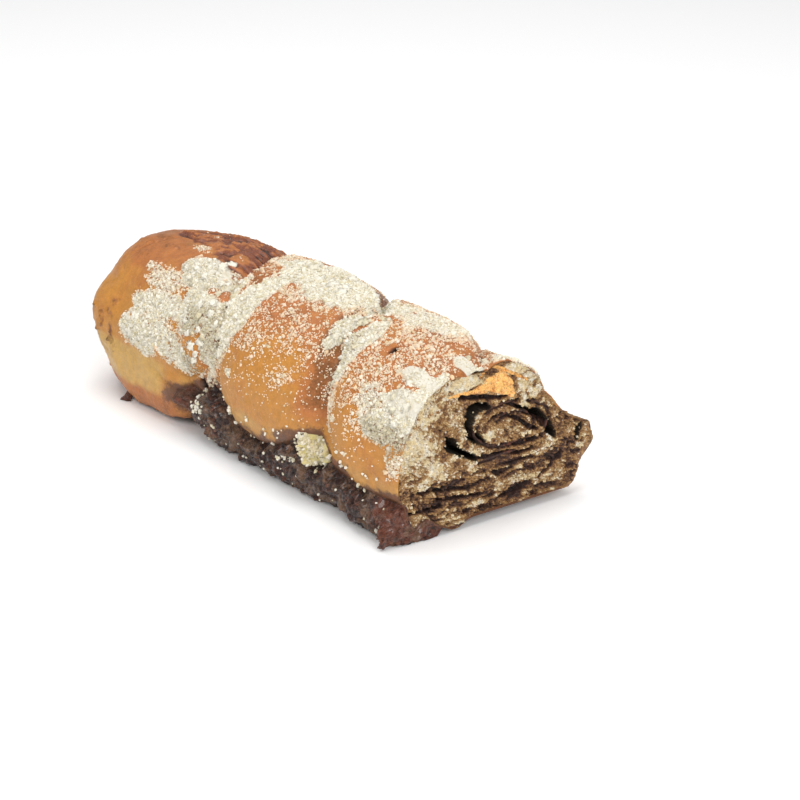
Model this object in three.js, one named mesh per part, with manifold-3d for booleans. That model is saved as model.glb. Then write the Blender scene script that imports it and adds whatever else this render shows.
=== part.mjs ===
// A cinnamon babka: a twisted sweet loaf with a crumb topping, cut through near one end.
// Millimetres, +Z up, X along the loaf. The cut face looks along +X and the uncut end is rounded.
// The crust is a surface in polar form about a line along the loaf: radius as a function of x and angle.
// Angles are in degrees: 0 is the front side (-Y), 90 the top, 180 the back side, -90 the underside.
import * as THREE from "three";
import { mergeVertices } from "three/addons/utils/BufferGeometryUtils.js";
import Module from "manifold-3d";

const wasm = await Module();
wasm.setup();

// ---- Driving dimensions ----
const CUT_X = 106; // the plane of the cut
const END_X = -145; // the tip of the rounded end
const AXIS = { y: -3, z: 26 }; // the line that angles are measured about
// The rounded end: where it starts, how blunt, its tip's height.
const END = { length: 38, power: 2.25, tip_z: 37 };

// The section in the creases, where the strands are lowest.
const CORE = { half_width: 47, up: 45, down: 26, power_up: 2.15, power_down: 5 };
const BACK_DIP = { share: 0.13, at: 118 }; // the section is flatter high on the back

// The creases between the twisted strands, as x at each of these angles.
const ANGLES = [-30, 5, 30, 60, 90, 121, 180, 210];
const CREASE_A = [-30, -30, -29, -45, -58, -76, -98, -106];
const CREASE_B = [56, 54, 51, 43, 31, -2, -26, -34];
const CREASE_C = [150, 140, 122, 109, 101, 64, 36, 28];
// How far the strands rise over the creases.
const RISE_ANGLES = [-30, 5, 30, 60, 90, 121, 150, 210];
const RISE = [10, 10, 8.5, 7, 8.5, 7.5, 6, 5];
const STRAND = { power: 2.6, front_turn: 42, back_turn: 138, back_edge: 187, blend: 0.6 };
const STRAND_ENDS = { first_half: 46, last_half: 40 }; // how far the first and last strands' rises reach
const FRONT_EDGES = [-2, -13, -12, 0]; // the angle where each strand's bulge ends at the front
// The top of the first strand, open and flat.
const SUNKEN = { share: 0.75, x: -70, run: 55, angle: 45, angle_run: 50 };
const LAST_STRAND = 0.3; // how much of its rise the strand behind the cut has
// The end of a strand that comes out low at the front.
const LOWER_STRAND = { x: -97, half_length: 46, at: -12, half_angle: 23, rise: 8.5, power: 3 };
const UNEVEN = [ // slow waves all over the crust
  { rise: 0.9, x: 27, angle: 31, seed: 1 },
  { rise: 0.35, x: 10, angle: 12, seed: 2 },
];

// The underside and the sticky band of filling along the front's foot.
const FLOOR = { over_base: 4, lip: 0.6, lip_x: -62, lip_run: 10, lip_angle: -33, lip_turn: 6 };
const ARCH = { x: 88, run: 12, y: -38, half: 9, rise: 5 }; // a gap under the loaf at the cut
// A bit of crumb that hangs down beside it.
const CRUMB_FOOT = { x: 92, run: 8, y: -22, half: 9, drop: 3.2 };
// The band's upper edge, as an angle at each x.
const BAND_X = [-64, -45, -34, -22, -9, 8, 29, 42, 50, 57, 71, 106];
const BAND_TOP = [-1, -6, 2, -2, -12, -13, -5, 3, 5, -8, -11, -8];
const BAND = { start: -58, fade: 16, soft: 7, recess: 2.5, thick: 6.6, edge: 0.55, least: 0.2 };
const CRAG = { rise: 1.6, x: 4.3, angle: 5.1, seed: 5, from: -46, full: -36 }; // the band's rough relief
const TAPER = { x: 66, run: 44, share: 0.8, angle: 62, angle_run: 30 }; // the front narrows towards the cut
// The two creases that run deeper over the top.
const DEEPER = { depth: 4.5, half: 9, at: 112, half_angle: 42 };
// Rounded rises and dips: the curl of crust at the cut's back corner, the end's swelling over its lower
// strand, the flatter place under that, and the dip in the back near the cut.
const SWELLINGS = [
  { x: 107, at: 180, rx: 11, ra: 15, rise: 6.5, steep: 1.35 },
  { x: -134, at: 12, rx: 34, ra: 23, rise: 7, steep: 1 },
  { x: -120, at: -23, rx: 26, ra: 24, rise: -3.4, steep: 1.3 },
  { x: 106, at: 147, rx: 50, ra: 27, rise: -6, steep: 1.4 },
];
const BASE = { first_x: -104, arch_x: 86, arch_angle: -43, low_angle: -141, slab_angle: -46, gap: 0.35 };
const FOOT = { x: 105, half: 10, more: 5, top: -4, soft: 8 }; // the drip at the cut's front corner

// The filling: a rolled sheet above, and a flattened one below. Turns run from the middle outwards.
const ROLL = {
  y: 8, z: 39.6, a: 9, a_turn: 9.5, b: 5.5, b_turn: 4.8,
  power: 2, from: 150, turns: 1.52, tilt: -4,
};
const LAYERS = {
  y: 1, z: 15.8, a: 15, a_turn: 12, b: 2.2, b_turn: 4,
  power: 3, from: 180, turns: 2.3, tilt: 1,
};
const FILLING = { thick: 1.7, gap: 0.3, back_x: -100, steps: 22, waver: 0.4, waves: 7.3 };
// Gaps beside the roll.
const VOIDS = { depth: 22, offset: 2.2, half: 1.9, spans: [[0.84, 1.2], [1.27, 1.56]] };
const SIDE_VOID = { y: -21, z: 36, length: 19, half: 1.7, angle: -31, stops: [-0.5, -0.2, 0.15, 0.5] };
const PAST_CUT = 1; // how far cutting shapes stand out of the cut face

// The crumb topping: thick heaps, and the patches where its larger lumps lie.
const HEAPS = [
  { x: -60, at: 56, rx: 24, ra: 12, rise: 3.2 },
  { x: -84, at: 14, rx: 26, ra: 15, rise: 1.6 },
  { x: -42, at: 34, rx: 15, ra: 30, rise: 3.4 },
  { x: -12, at: 92, rx: 44, ra: 26, rise: 1.4 },
  { x: 44, at: 66, rx: 13, ra: 24, rise: 4.2 },
  { x: 94, at: 38, rx: 16, ra: 25, rise: 2.2 },
  { x: 98, at: 74, rx: 14, ra: 12, rise: 0.9 },
  { x: 101, at: 102, rx: 15, ra: 18, rise: 2.2 },
];
// How the heaps fall off, and their roughness.
const HEAP = { steep: 1.35, relief: 0.35, x: 4.5, angle: 5.2, seed: 3 };
const LUMPS = { count: 92, tries: 900, smallest: 1.5, largest: 3.1, small_share: 1.6, out: 0.15, thin: 0.7 };
const LUMP_AREA = { x: -118, length: 220, angle: 12, angles: 110, full: 3, least: 0.12, spread: 0.5 };
const LUMP_CORNERS = { least: 0.75, spread: 0.45 }; // how far a lump's corners move in and out
// The loose piece in the notch.
const CLUMP = { x: 46.5, at: -3, half_x: 9, half_angle: 10, reach: 0.92, rise: 6.5, edge: 0.8 };
const CLUMP_FALL = { steep: 1.2, from: 1.15 }; // how it falls off towards its rim
const CLUMP_RELIEF = { share: 0.4, x: 4, angle: 5, seed: 6 };
const CLEAR = { x: 3, angle: 2 }; // how far the band keeps from that piece

// The grid that the crust's surface is worked out on.
const GRID = { end_rings: 9, body_rings: 40 };
const ANGLE_BANDS = [
  { from: -150, to: -45, steps: 9 },
  { from: -45, to: 11, steps: 13 },
  { from: 11, to: 187, steps: 34 },
  { from: 187, to: 210, steps: 4 },
];

const DEG = Math.PI / 180;

// ---- Small helpers ----
const clamp = (v, low, high) => Math.min(high, Math.max(low, v));
const smooth = (v) => {
  const t = clamp(v, 0, 1);
  return t * t * (3 - 2 * t);
};
const bump = (v) => smooth(1 - Math.abs(v));
const hash = (n) => {
  const s = Math.sin(n * 12.9898 + 4.137) * 43758.5453;
  return s - Math.floor(s);
};

// Straight interpolation in a table.
function table(v, at, values) {
  if (v <= at[0]) return values[0];
  for (let i = 1; i < at.length; i++) {
    const share = (v - at[i - 1]) / (at[i] - at[i - 1]);
    if (v <= at[i]) return values[i - 1] + (values[i] - values[i - 1]) * share;
  }
  return values[values.length - 1];
}

// The same with its corners rounded, as the mean of four places near v.
const ROUNDING = [-9, -3, 3, 9];
function curve(v, at, values) {
  return ROUNDING.reduce((sum, shift) => sum + table(v + shift, at, values), 0) / ROUNDING.length;
}

// Smooth lumps from -1 to 1: random values on a square lattice, blended between its corners.
function lumps(u, v, seed) {
  const i = Math.floor(u);
  const j = Math.floor(v);
  const at = (a, b) => hash(a * 7.31 + b * 57.17 + seed * 131.7);
  const s = smooth(u - i);
  const t = smooth(v - j);
  const low = at(i, j) * (1 - s) + at(i + 1, j) * s;
  const high = at(i, j + 1) * (1 - s) + at(i + 1, j + 1) * s;
  return 2 * (low * (1 - t) + high * t) - 1;
}

// ---- The crust ----
// The lowest section: a superellipse, flattened high on the back.
function coreRadius(angle) {
  const s = Math.sin(angle * DEG);
  const up = s > 0;
  const power = up ? CORE.power_up : CORE.power_down;
  const across = Math.pow(Math.abs(Math.cos(angle * DEG)) / CORE.half_width, power);
  const along = Math.pow(Math.abs(s) / (up ? CORE.up : CORE.down), power);
  const dip = Math.pow(Math.max(0, Math.cos((angle - BACK_DIP.at) * DEG)), 3);
  return Math.pow(across + along, -1 / power) * (1 - BACK_DIP.share * dip);
}

// One strand's rise between its creases: a superellipse in x and angle, open where a crease is null.
function strandRise(x, angle, left, right, front_edge) {
  const l = left ? curve(angle, ANGLES, left) : null;
  const r = right ? curve(angle, ANGLES, right) : null;
  let t;
  if (l === null) t = Math.max(0, 1 + (x - r) / STRAND_ENDS.first_half);
  else if (r === null) t = Math.max(0, 1 - (x - l) / STRAND_ENDS.last_half);
  else t = Math.abs((2 * x - l - r) / (r - l));
  const front = Math.max(0, (STRAND.front_turn - angle) / (STRAND.front_turn - front_edge));
  const back = Math.max(0, (angle - STRAND.back_turn) / (STRAND.back_edge - STRAND.back_turn));
  const full = 1 - Math.pow(t, STRAND.power) - Math.pow(front, STRAND.power) - Math.pow(back, STRAND.power);
  return full <= 0 ? 0 : Math.pow(full, 1 / STRAND.power) * curve(angle, RISE_ANGLES, RISE);
}

function lowerStrandRise(x, angle) {
  const t = Math.abs((x - LOWER_STRAND.x) / LOWER_STRAND.half_length);
  const s = Math.abs((angle - LOWER_STRAND.at) / LOWER_STRAND.half_angle);
  const full = 1 - Math.pow(t, LOWER_STRAND.power) - Math.pow(s, STRAND.power);
  return full <= 0 ? 0 : Math.pow(full, 1 / STRAND.power) * LOWER_STRAND.rise;
}

function heapRise(x, angle) {
  let rise = 0;
  for (const h of HEAPS) {
    const d = Math.hypot((x - h.x) / h.rx, (angle - h.at) / h.ra);
    rise = Math.max(rise, h.rise * smooth(HEAP.steep * (1 - d)));
  }
  return rise * (1 + HEAP.relief * lumps(x / HEAP.x, angle / HEAP.angle, HEAP.seed));
}

// The strands together: the highest of them, with the creases between them slightly rounded.
function strandsRise(x, angle) {
  const sunken = smooth((SUNKEN.x - x) / SUNKEN.run) * smooth((angle - SUNKEN.angle) / SUNKEN.angle_run);
  const narrow = smooth((x - TAPER.x) / TAPER.run) * smooth((TAPER.angle - angle) / TAPER.angle_run);
  const rises = [
    strandRise(x, angle, null, CREASE_A, FRONT_EDGES[0]) * (1 - SUNKEN.share * sunken),
    strandRise(x, angle, CREASE_A, CREASE_B, FRONT_EDGES[1]),
    strandRise(x, angle, CREASE_B, CREASE_C, FRONT_EDGES[2]) * (1 - TAPER.share * narrow),
    strandRise(x, angle, CREASE_C, null, FRONT_EDGES[3]) * LAST_STRAND,
    lowerStrandRise(x, angle),
  ];
  const top = Math.max(...rises);
  return top + STRAND.blend * Math.log(rises.reduce((n, v) => n + Math.exp((v - top) / STRAND.blend), 0));
}

// How much of the sticky band there is at a place, from 0 to 1: it lies below the bulge of the strands.
function bandShare(x, angle) {
  const along = smooth((x - BAND.start) / BAND.fade + 0.5);
  return along * smooth((table(x, BAND_X, BAND_TOP) - angle) / BAND.soft + 0.5);
}

function grooveDepth(x, angle) {
  const near = Math.max(
    bump((x - curve(angle, ANGLES, CREASE_B)) / DEEPER.half),
    bump((x - curve(angle, ANGLES, CREASE_C)) / DEEPER.half),
  );
  return DEEPER.depth * near * bump((angle - DEEPER.at) / DEEPER.half_angle);
}

// A rounded rise or dip in the crust, greatest at its middle.
function swelling(s, x, angle) {
  return s.rise * smooth(s.steep * (1 - Math.hypot((x - s.x) / s.rx, (angle - s.at) / s.ra)));
}

function crustRadius(x, angle) {
  const uneven = UNEVEN.reduce((sum, w) => sum + w.rise * lumps(x / w.x, angle / w.angle, w.seed), 0);
  const added = SWELLINGS.reduce((sum, s) => sum + swelling(s, x, angle), heapRise(x, angle));
  const recess = BAND.recess * bandShare(x, angle) + grooveDepth(x, angle);
  return coreRadius(angle) + strandsRise(x, angle) + uneven + added - recess;
}

// The height that the loaf's underside is pressed flat at.
function floorHeight(x, y, angle) {
  const lip = smooth((FLOOR.lip_x - x) / FLOOR.lip_run) * smooth((angle - FLOOR.lip_angle) / FLOOR.lip_turn);
  const nearCut = (s) => smooth((x - s.x) / s.run) * bump((y - s.y) / s.half);
  const flat = FLOOR.over_base * (1 - lip) + FLOOR.lip * lip;
  return flat + ARCH.rise * nearCut(ARCH) - CRUMB_FOOT.drop * nearCut(CRUMB_FOOT);
}

// A point of the surface that lies `out` beyond the crust, and `under` below its flat underside.
function surfacePoint(x, angle, out, under) {
  const t = clamp((END_X + END.length - x) / END.length, 0, 1);
  const shrink = Math.pow(1 - Math.pow(t, END.power), 1 / END.power);
  const axis_z = AXIS.z + (END.tip_z - AXIS.z) * t * t;
  const r = (crustRadius(x, angle) + out) * shrink;
  const y = AXIS.y - r * Math.cos(angle * DEG);
  const z = axis_z + r * Math.sin(angle * DEG);
  return [x, y, Math.max(z, floorHeight(x, y, angle) - under)];
}

const endRings = Array.from({ length: GRID.end_rings }, (_, i) => {
  const turn = ((i + 1) / (GRID.end_rings + 1)) * 90 * DEG;
  return END_X + END.length * (1 - Math.cos(turn));
});
const bodyRings = Array.from({ length: GRID.body_rings }, (_, i) => {
  return END_X + END.length + ((CUT_X - END_X - END.length) * i) / (GRID.body_rings - 1);
});
const STATIONS = [...endRings, ...bodyRings];
const AROUND = ANGLE_BANDS.flatMap((band) =>
  Array.from({ length: band.steps }, (_, i) => band.from + ((band.to - band.from) * i) / band.steps),
);

// ---- Building solids ----
function geometryOf(points, triangles) {
  const geometry = new THREE.BufferGeometry();
  geometry.setAttribute("position", new THREE.Float32BufferAttribute(points.flat(), 3));
  geometry.setIndex(triangles.flat());
  return geometry;
}

function solidOf(geometry) {
  const bare = geometry.clone();
  bare.deleteAttribute("normal");
  bare.deleteAttribute("uv");
  const merged = mergeVertices(bare, 1e-4);
  return new wasm.Manifold(
    new wasm.Mesh({
      numProp: 3,
      vertProperties: new Float32Array(merged.attributes.position.array),
      triVerts: new Uint32Array(merged.index.array),
    }),
  );
}

// The largest body of a solid, without loose scraps.
function mainBody(solid) {
  return solid.decompose().reduce((best, body) => (body.volume() > best.volume() ? body : best));
}

function geometryOfSolid(solid) {
  const { vertProperties, triVerts, numProp } = solid.getMesh();
  const points = new Float32Array((vertProperties.length / numProp) * 3);
  for (let i = 0; i < points.length / 3; i++) {
    points.set(vertProperties.subarray(i * numProp, i * numProp + 3), i * 3);
  }
  const geometry = new THREE.BufferGeometry();
  geometry.setAttribute("position", new THREE.BufferAttribute(points, 3));
  geometry.setIndex(new THREE.BufferAttribute(triVerts, 1));
  return geometry;
}

// The loaf's whole skin: rings closed by a point at the rounded end and by a fan on the cut.
function skinGeometry() {
  const n = AROUND.length;
  const points = STATIONS.flatMap((x) => AROUND.map((angle) => surfacePoint(x, angle, 0, 0)));
  const tip = points.push([END_X, AXIS.y, END.tip_z]) - 1;
  const middle = points.push([CUT_X, AXIS.y, AXIS.z]) - 1;
  const last = (STATIONS.length - 1) * n;
  const triangles = [];
  for (let j = 0; j < n; j++) {
    const k = (j + 1) % n;
    triangles.push([tip, j, k], [middle, last + k, last + j]);
    for (let i = 0; i < STATIONS.length - 1; i++) {
      const a = i * n + j;
      const b = i * n + k;
      triangles.push([a, a + n, b], [b, a + n, b + n]);
    }
  }
  return geometryOf(points, triangles);
}

// A layer lying on the crust: the grid's cells that `covers` picks, between two surfaces of surfacePoint.
function layerGeometry(covers, inner, outer) {
  const points = [];
  const triangles = [];
  const ids = new Map();
  const cells = new Set();
  const corner = (i, j, side) => {
    const key = i + "," + j + "," + side;
    if (!ids.has(key)) ids.set(key, points.push((side ? outer : inner)(STATIONS[i], AROUND[j])) - 1);
    return ids.get(key);
  };
  for (let i = 0; i < STATIONS.length - 1; i++) {
    for (let j = 0; j < AROUND.length - 1; j++) {
      const x = (STATIONS[i] + STATIONS[i + 1]) / 2;
      const angle = (AROUND[j] + AROUND[j + 1]) / 2;
      if (covers(x, angle)) cells.add(i + "," + j);
    }
  }
  const wall = (a, b) => {
    triangles.push([corner(...a, 0), corner(...b, 0), corner(...b, 1)]);
    triangles.push([corner(...a, 0), corner(...b, 1), corner(...a, 1)]);
  };
  for (const cell of cells) {
    const [i, j] = cell.split(",").map(Number);
    for (const side of [0, 1]) {
      const [a, b] = [corner(i, j, side), corner(i, j + 1, side)];
      const [c, d] = [corner(i + 1, j, side), corner(i + 1, j + 1, side)];
      if (side) triangles.push([a, c, b], [b, c, d]);
      else triangles.push([a, b, c], [b, d, c]);
    }
    if (!cells.has(i - 1 + "," + j)) wall([i, j + 1], [i, j]);
    if (!cells.has(i + 1 + "," + j)) wall([i + 1, j], [i + 1, j + 1]);
    if (!cells.has(i + "," + (j - 1))) wall([i, j], [i + 1, j]);
    if (!cells.has(i + "," + (j + 1))) wall([i + 1, j + 1], [i, j + 1]);
  }
  return geometryOf(points, triangles);
}

// ---- The filling ----
// A point on a flattened spiral, in the plane of the cut, after some turns from its middle.
function spiralPoint(s, turn) {
  const angle = (s.from - 360 * turn) * DEG;
  const c = Math.cos(angle);
  const d = Math.sin(angle);
  const u = (s.a + s.a_turn * turn) * Math.sign(c) * Math.pow(Math.abs(c), 2 / s.power);
  const v = (s.b + s.b_turn * turn) * Math.sign(d) * Math.pow(Math.abs(d), 2 / s.power);
  const tilt = s.tilt * DEG;
  const waver = FILLING.waver * lumps(turn * FILLING.waves, 0.5, s.a);
  const y = s.y + u * Math.cos(tilt) - v * Math.sin(tilt);
  return new THREE.Vector2(y, s.z + u * Math.sin(tilt) + v * Math.cos(tilt) + waver);
}

// The outline of a ribbon of even thickness along a line of points, its middle moved sideways by `offset`.
function ribbonShape(line, half, offset = 0) {
  const sides = [[], []];
  line.forEach((p, i) => {
    const before = line[Math.max(0, i - 1)];
    const after = line[Math.min(line.length - 1, i + 1)];
    const way = after.clone().sub(before).normalize();
    const normal = new THREE.Vector2(-way.y, way.x);
    sides[0].push(p.clone().addScaledVector(normal, offset + half));
    sides[1].push(p.clone().addScaledVector(normal, offset - half));
  });
  return new THREE.Shape([...sides[0], ...sides[1].reverse()]);
}

// Extrudes a shape drawn in the plane of the cut, from one x to another.
function alongLoaf(shape, from_x, to_x) {
  const geometry = new THREE.ExtrudeGeometry(shape, { depth: to_x - from_x, bevelEnabled: false, steps: 1 });
  const across = new THREE.Vector3(0, 1, 0);
  const up = new THREE.Vector3(0, 0, 1);
  const along = new THREE.Vector3(1, 0, 0);
  geometry.applyMatrix4(new THREE.Matrix4().makeBasis(across, up, along));
  return geometry.translate(from_x, 0, 0);
}

function spiralLine(s, from = 0, to = s.turns) {
  const count = Math.ceil((to - from) * FILLING.steps);
  return Array.from({ length: count + 1 }, (_, i) => spiralPoint(s, from + ((to - from) * i) / count));
}

function fillingGeometry(s) {
  return alongLoaf(ribbonShape(spiralLine(s), FILLING.thick / 2), FILLING.back_x, CUT_X);
}

function slotGeometry(s) {
  const half = FILLING.thick / 2 + FILLING.gap;
  const line = spiralLine(s);
  const way = (a, b) => a.clone().sub(b).setLength(FILLING.gap);
  line.unshift(line[0].clone().add(way(line[0], line[1])));
  line.push(line[line.length - 1].clone().add(way(line[line.length - 1], line[line.length - 2])));
  return alongLoaf(ribbonShape(line, half), FILLING.back_x - FILLING.gap, CUT_X + PAST_CUT);
}

function voidGeometries() {
  const gap = ([from, to]) => ribbonShape(spiralLine(ROLL, from, to), VOIDS.half, VOIDS.offset);
  const way = new THREE.Vector2(Math.cos(SIDE_VOID.angle * DEG), Math.sin(SIDE_VOID.angle * DEG));
  const middle = new THREE.Vector2(SIDE_VOID.y, SIDE_VOID.z);
  const line = SIDE_VOID.stops.map((share) => middle.clone().addScaledVector(way, share * SIDE_VOID.length));
  const shapes = [...VOIDS.spans.map(gap), ribbonShape(line, SIDE_VOID.half)];
  return shapes.map((shape) => alongLoaf(shape, CUT_X - VOIDS.depth, CUT_X + PAST_CUT));
}

// ---- The topping's larger lumps ----
// Places by an even two-way sequence; a place counts where the heaps are thick enough for its draw.
const SPREAD = [0.7548776662466927, 0.5698402909980532]; // 1/p and 1/p^2, with p^3 = p + 1
function lumpPlaces() {
  const places = [];
  for (let i = 1; i <= LUMPS.tries && places.length < LUMPS.count; i++) {
    const x = LUMP_AREA.x + LUMP_AREA.length * ((i * SPREAD[0]) % 1);
    const angle = LUMP_AREA.angle + LUMP_AREA.angles * ((i * SPREAD[1]) % 1);
    const thickness = heapRise(x, angle) / LUMP_AREA.full;
    if (thickness > LUMP_AREA.least + LUMP_AREA.spread * hash(i)) places.push({ x, angle, i });
  }
  return places;
}

// One lump: an icosahedron with its corners moved in and out.
function lumpGeometry({ x, angle, i }) {
  const size = LUMPS.smallest + (LUMPS.largest - LUMPS.smallest) * hash(i + 0.5) ** LUMPS.small_share;
  const geometry = new THREE.IcosahedronGeometry(size, 0);
  geometry.deleteAttribute("normal");
  geometry.deleteAttribute("uv");
  const merged = mergeVertices(geometry, 1e-4);
  const place = merged.attributes.position;
  for (let k = 0; k < place.count; k++) {
    const share = LUMP_CORNERS.least + LUMP_CORNERS.spread * hash(i * 13 + k * 3.7);
    place.setXYZ(k, place.getX(k) * share, place.getY(k) * share, place.getZ(k) * share * LUMPS.thin);
  }
  merged.rotateZ(hash(i + 0.25) * 2 * Math.PI);
  merged.rotateX((90 - angle) * DEG);
  return merged.translate(...surfacePoint(x, angle, size * LUMPS.thin * LUMPS.out, 0));
}

function doughGeometry() {
  let solid = solidOf(skinGeometry());
  for (const place of lumpPlaces()) solid = solid.add(solidOf(lumpGeometry(place)));
  const cuts = [slotGeometry(ROLL), slotGeometry(LAYERS), ...voidGeometries()];
  for (const cut of cuts) solid = solid.subtract(solidOf(cut));
  return geometryOfSolid(mainBody(solid));
}

// ---- The sticky base: a thin slab under the loaf that climbs its front as a rough band ----
function baseGeometry() {
  const covers = (x, angle) => {
    if (x < BASE.first_x || angle < BASE.low_angle) return false;
    if (angle < BASE.arch_angle) return x < BASE.arch_x;
    const beside = Math.abs(x - CLUMP.x) > CLUMP.half_x + CLEAR.x;
    const below = angle < CLUMP.at - CLUMP.half_angle - CLEAR.angle;
    return bandShare(x, angle) > BAND.least && (beside || below);
  };
  const inner = (x, angle) => surfacePoint(x, angle, BASE.gap, BASE.gap);
  const outer = (x, angle) => {
    const foot = FOOT.more * bump((x - FOOT.x) / FOOT.half) * smooth((FOOT.top - angle) / FOOT.soft);
    const rough = smooth((angle - CRAG.from) / (CRAG.full - CRAG.from));
    const crags = CRAG.rise * rough * lumps(x / CRAG.x, angle / CRAG.angle, CRAG.seed);
    const share = angle < BASE.slab_angle ? 1 : smooth(1.5 * bandShare(x, angle) - 0.3);
    const out = BASE.gap + BAND.edge + share * (BAND.thick + crags + foot);
    const [px, py, pz] = surfacePoint(x, angle, out, FLOOR.over_base + ARCH.rise);
    return [px, py, Math.max(0, pz)];
  };
  return layerGeometry(covers, inner, outer);
}

// The loose piece of topping: a rough cushion on the crust.
function clumpGeometry() {
  const off = (x, angle) => Math.hypot((x - CLUMP.x) / CLUMP.half_x, (angle - CLUMP.at) / CLUMP.half_angle);
  const covers = (x, angle) => off(x, angle) < CLUMP.reach;
  const inner = (x, angle) => surfacePoint(x, angle, BASE.gap, 0);
  const outer = (x, angle) => {
    const relief = lumps(x / CLUMP_RELIEF.x, angle / CLUMP_RELIEF.angle, CLUMP_RELIEF.seed);
    const share = smooth(CLUMP_FALL.steep * (CLUMP_FALL.from - off(x, angle)));
    const rise = CLUMP.rise * share * (1 + CLUMP_RELIEF.share * relief);
    return surfacePoint(x, angle, BASE.gap + CLUMP.edge + rise, 0);
  };
  return layerGeometry(covers, inner, outer);
}

// ---- The object ----
function material(color, roughness) {
  return new THREE.MeshStandardMaterial({ color, roughness, metalness: 0, flatShading: true });
}
const CRUST = material(0xc98a45, 0.6);
const CINNAMON = material(0x3a2119, 0.45);
const STICKY = material(0x4a2a20, 0.35);
const CRUMBLE = material(0xe6dfc2, 0.95);

const babka = new THREE.Group();
function addPart(name, geometry, look) {
  const mesh = new THREE.Mesh(geometry, look);
  mesh.name = name;
  babka.add(mesh);
}
addPart("dough", doughGeometry(), CRUST);
addPart("filling_roll", fillingGeometry(ROLL), CINNAMON);
addPart("filling_layers", fillingGeometry(LAYERS), CINNAMON);
addPart("sticky_base", baseGeometry(), STICKY);
addPart("streusel_clump", clumpGeometry(), CRUMBLE);

// The origin is the middle of the underside.
const box = new THREE.Box3().setFromObject(babka);
babka.position.set(-(box.min.x + box.max.x) / 2, -(box.min.y + box.max.y) / 2, -box.min.z);

export default babka;
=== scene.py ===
"""A cinnamon babka: the looks of its crust, cut crumb, filling, sticky foot and crumb topping.

Shapes are worked out in millimetres in the loaf's own frame, where X runs along the loaf, the cut is at
X = CUT_X and the crust is a radius as a function of x and angle about a line along the loaf. Angles are in
degrees: 0 is the front side (-Y), 90 the top, 180 the back side and -90 the underside. A mesh is moved into
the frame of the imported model, in metres, as it is made.
"""

import math

import bmesh
import bpy
import numpy as np
from bpy.props import FloatProperty, FloatVectorProperty, IntProperty, PointerProperty
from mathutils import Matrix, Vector


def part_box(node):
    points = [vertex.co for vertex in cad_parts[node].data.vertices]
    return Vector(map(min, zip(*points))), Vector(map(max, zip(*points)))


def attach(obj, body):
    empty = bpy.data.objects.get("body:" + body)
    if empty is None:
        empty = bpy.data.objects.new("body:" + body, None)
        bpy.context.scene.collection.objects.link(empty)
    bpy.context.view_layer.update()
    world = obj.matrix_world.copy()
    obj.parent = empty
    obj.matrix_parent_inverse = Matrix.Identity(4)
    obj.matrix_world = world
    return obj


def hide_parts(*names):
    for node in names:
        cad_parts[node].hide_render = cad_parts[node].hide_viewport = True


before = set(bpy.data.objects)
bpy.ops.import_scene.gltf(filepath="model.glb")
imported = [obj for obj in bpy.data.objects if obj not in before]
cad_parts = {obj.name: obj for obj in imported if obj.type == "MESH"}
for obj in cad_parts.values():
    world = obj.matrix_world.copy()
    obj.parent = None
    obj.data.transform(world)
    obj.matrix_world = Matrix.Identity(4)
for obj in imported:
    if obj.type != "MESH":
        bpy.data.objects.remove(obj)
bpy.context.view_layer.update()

bl_info = {
    "name": "Cinnamon babka",
    "version": (1, 0, 0),
    "blender": (4, 5, 0),
    "location": "3D View > Sidebar > Babka",
    "description": "Builds the crust, cut crumb, filling and crumb topping of a cinnamon babka",
    "category": "Object",
}

MM = 0.001
PICTURE = 800  # the photograph's side, in pixels

# ---- The loaf's shape, with the values of the solid's own source ----
CUT_X = 106.0
END_X = -145.0
SHIFT = np.array([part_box("dough")[1].x / MM - CUT_X, 4.589, 0.0])  # from the loaf's frame to the model's
AXIS_Y = -3.0
AXIS_Z = 26.0
END_LENGTH = 38.0
END_POWER = 2.25
TIP_Z = 37.0
HALF_WIDTH = 47.0
CORE_UP = (45.0, 2.15)  # height over the axis and the superellipse's power
CORE_DOWN = (26.0, 5.0)
BACK_DIP = (0.13, 118.0)  # share, angle

ANGLES = [-30, 5, 30, 60, 90, 121, 180, 210]
CREASE_A = [-30, -30, -29, -45, -58, -76, -98, -106]
CREASE_B = [56, 54, 51, 43, 31, -2, -26, -34]
CREASE_C = [150, 140, 122, 109, 101, 64, 36, 28]
RISE_ANGLES = [-30, 5, 30, 60, 90, 121, 150, 210]
RISE = [10, 10, 8.5, 7, 8.5, 7.5, 6, 5]
STRAND_POWER = 2.6
STRAND_FRONT = 42.0
STRAND_BACK = (138.0, 187.0)
STRAND_BLEND = 0.6
FIRST_HALF = 46.0
LAST_HALF = 40.0
FRONT_EDGES = (-2.0, -13.0, -12.0, 0.0)
UNEVEN = ((0.9, 27.0, 31.0, 1), (0.35, 10.0, 12.0, 2))  # rise, length in x, in angle, seed
BAND_X = [-64, -45, -34, -22, -9, 8, 29, 42, 50, 57, 71, 106]
BAND_TOP = [-1, -6, 2, -2, -12, -13, -5, 3, 5, -8, -11, -8]
HEAPS = (  # x, angle, half length in x, in angle, rise
    (-60, 56, 24, 12, 3.2),
    (-84, 14, 26, 15, 1.6),
    (-42, 34, 15, 30, 3.4),
    (-12, 92, 44, 26, 1.4),
    (44, 66, 13, 24, 4.2),
    (94, 38, 16, 25, 2.2),
    (98, 74, 14, 12, 0.9),
    (101, 102, 15, 18, 2.2),
)
SWELLINGS = (  # x, angle, half length in x, in angle, rise, steepness
    (107, 180, 11, 15, 6.5, 1.35),
    (-134, 12, 34, 23, 7, 1.0),
    (-120, -23, 26, 24, -3.4, 1.3),
    (106, 147, 50, 27, -6.0, 1.4),
)

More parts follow.
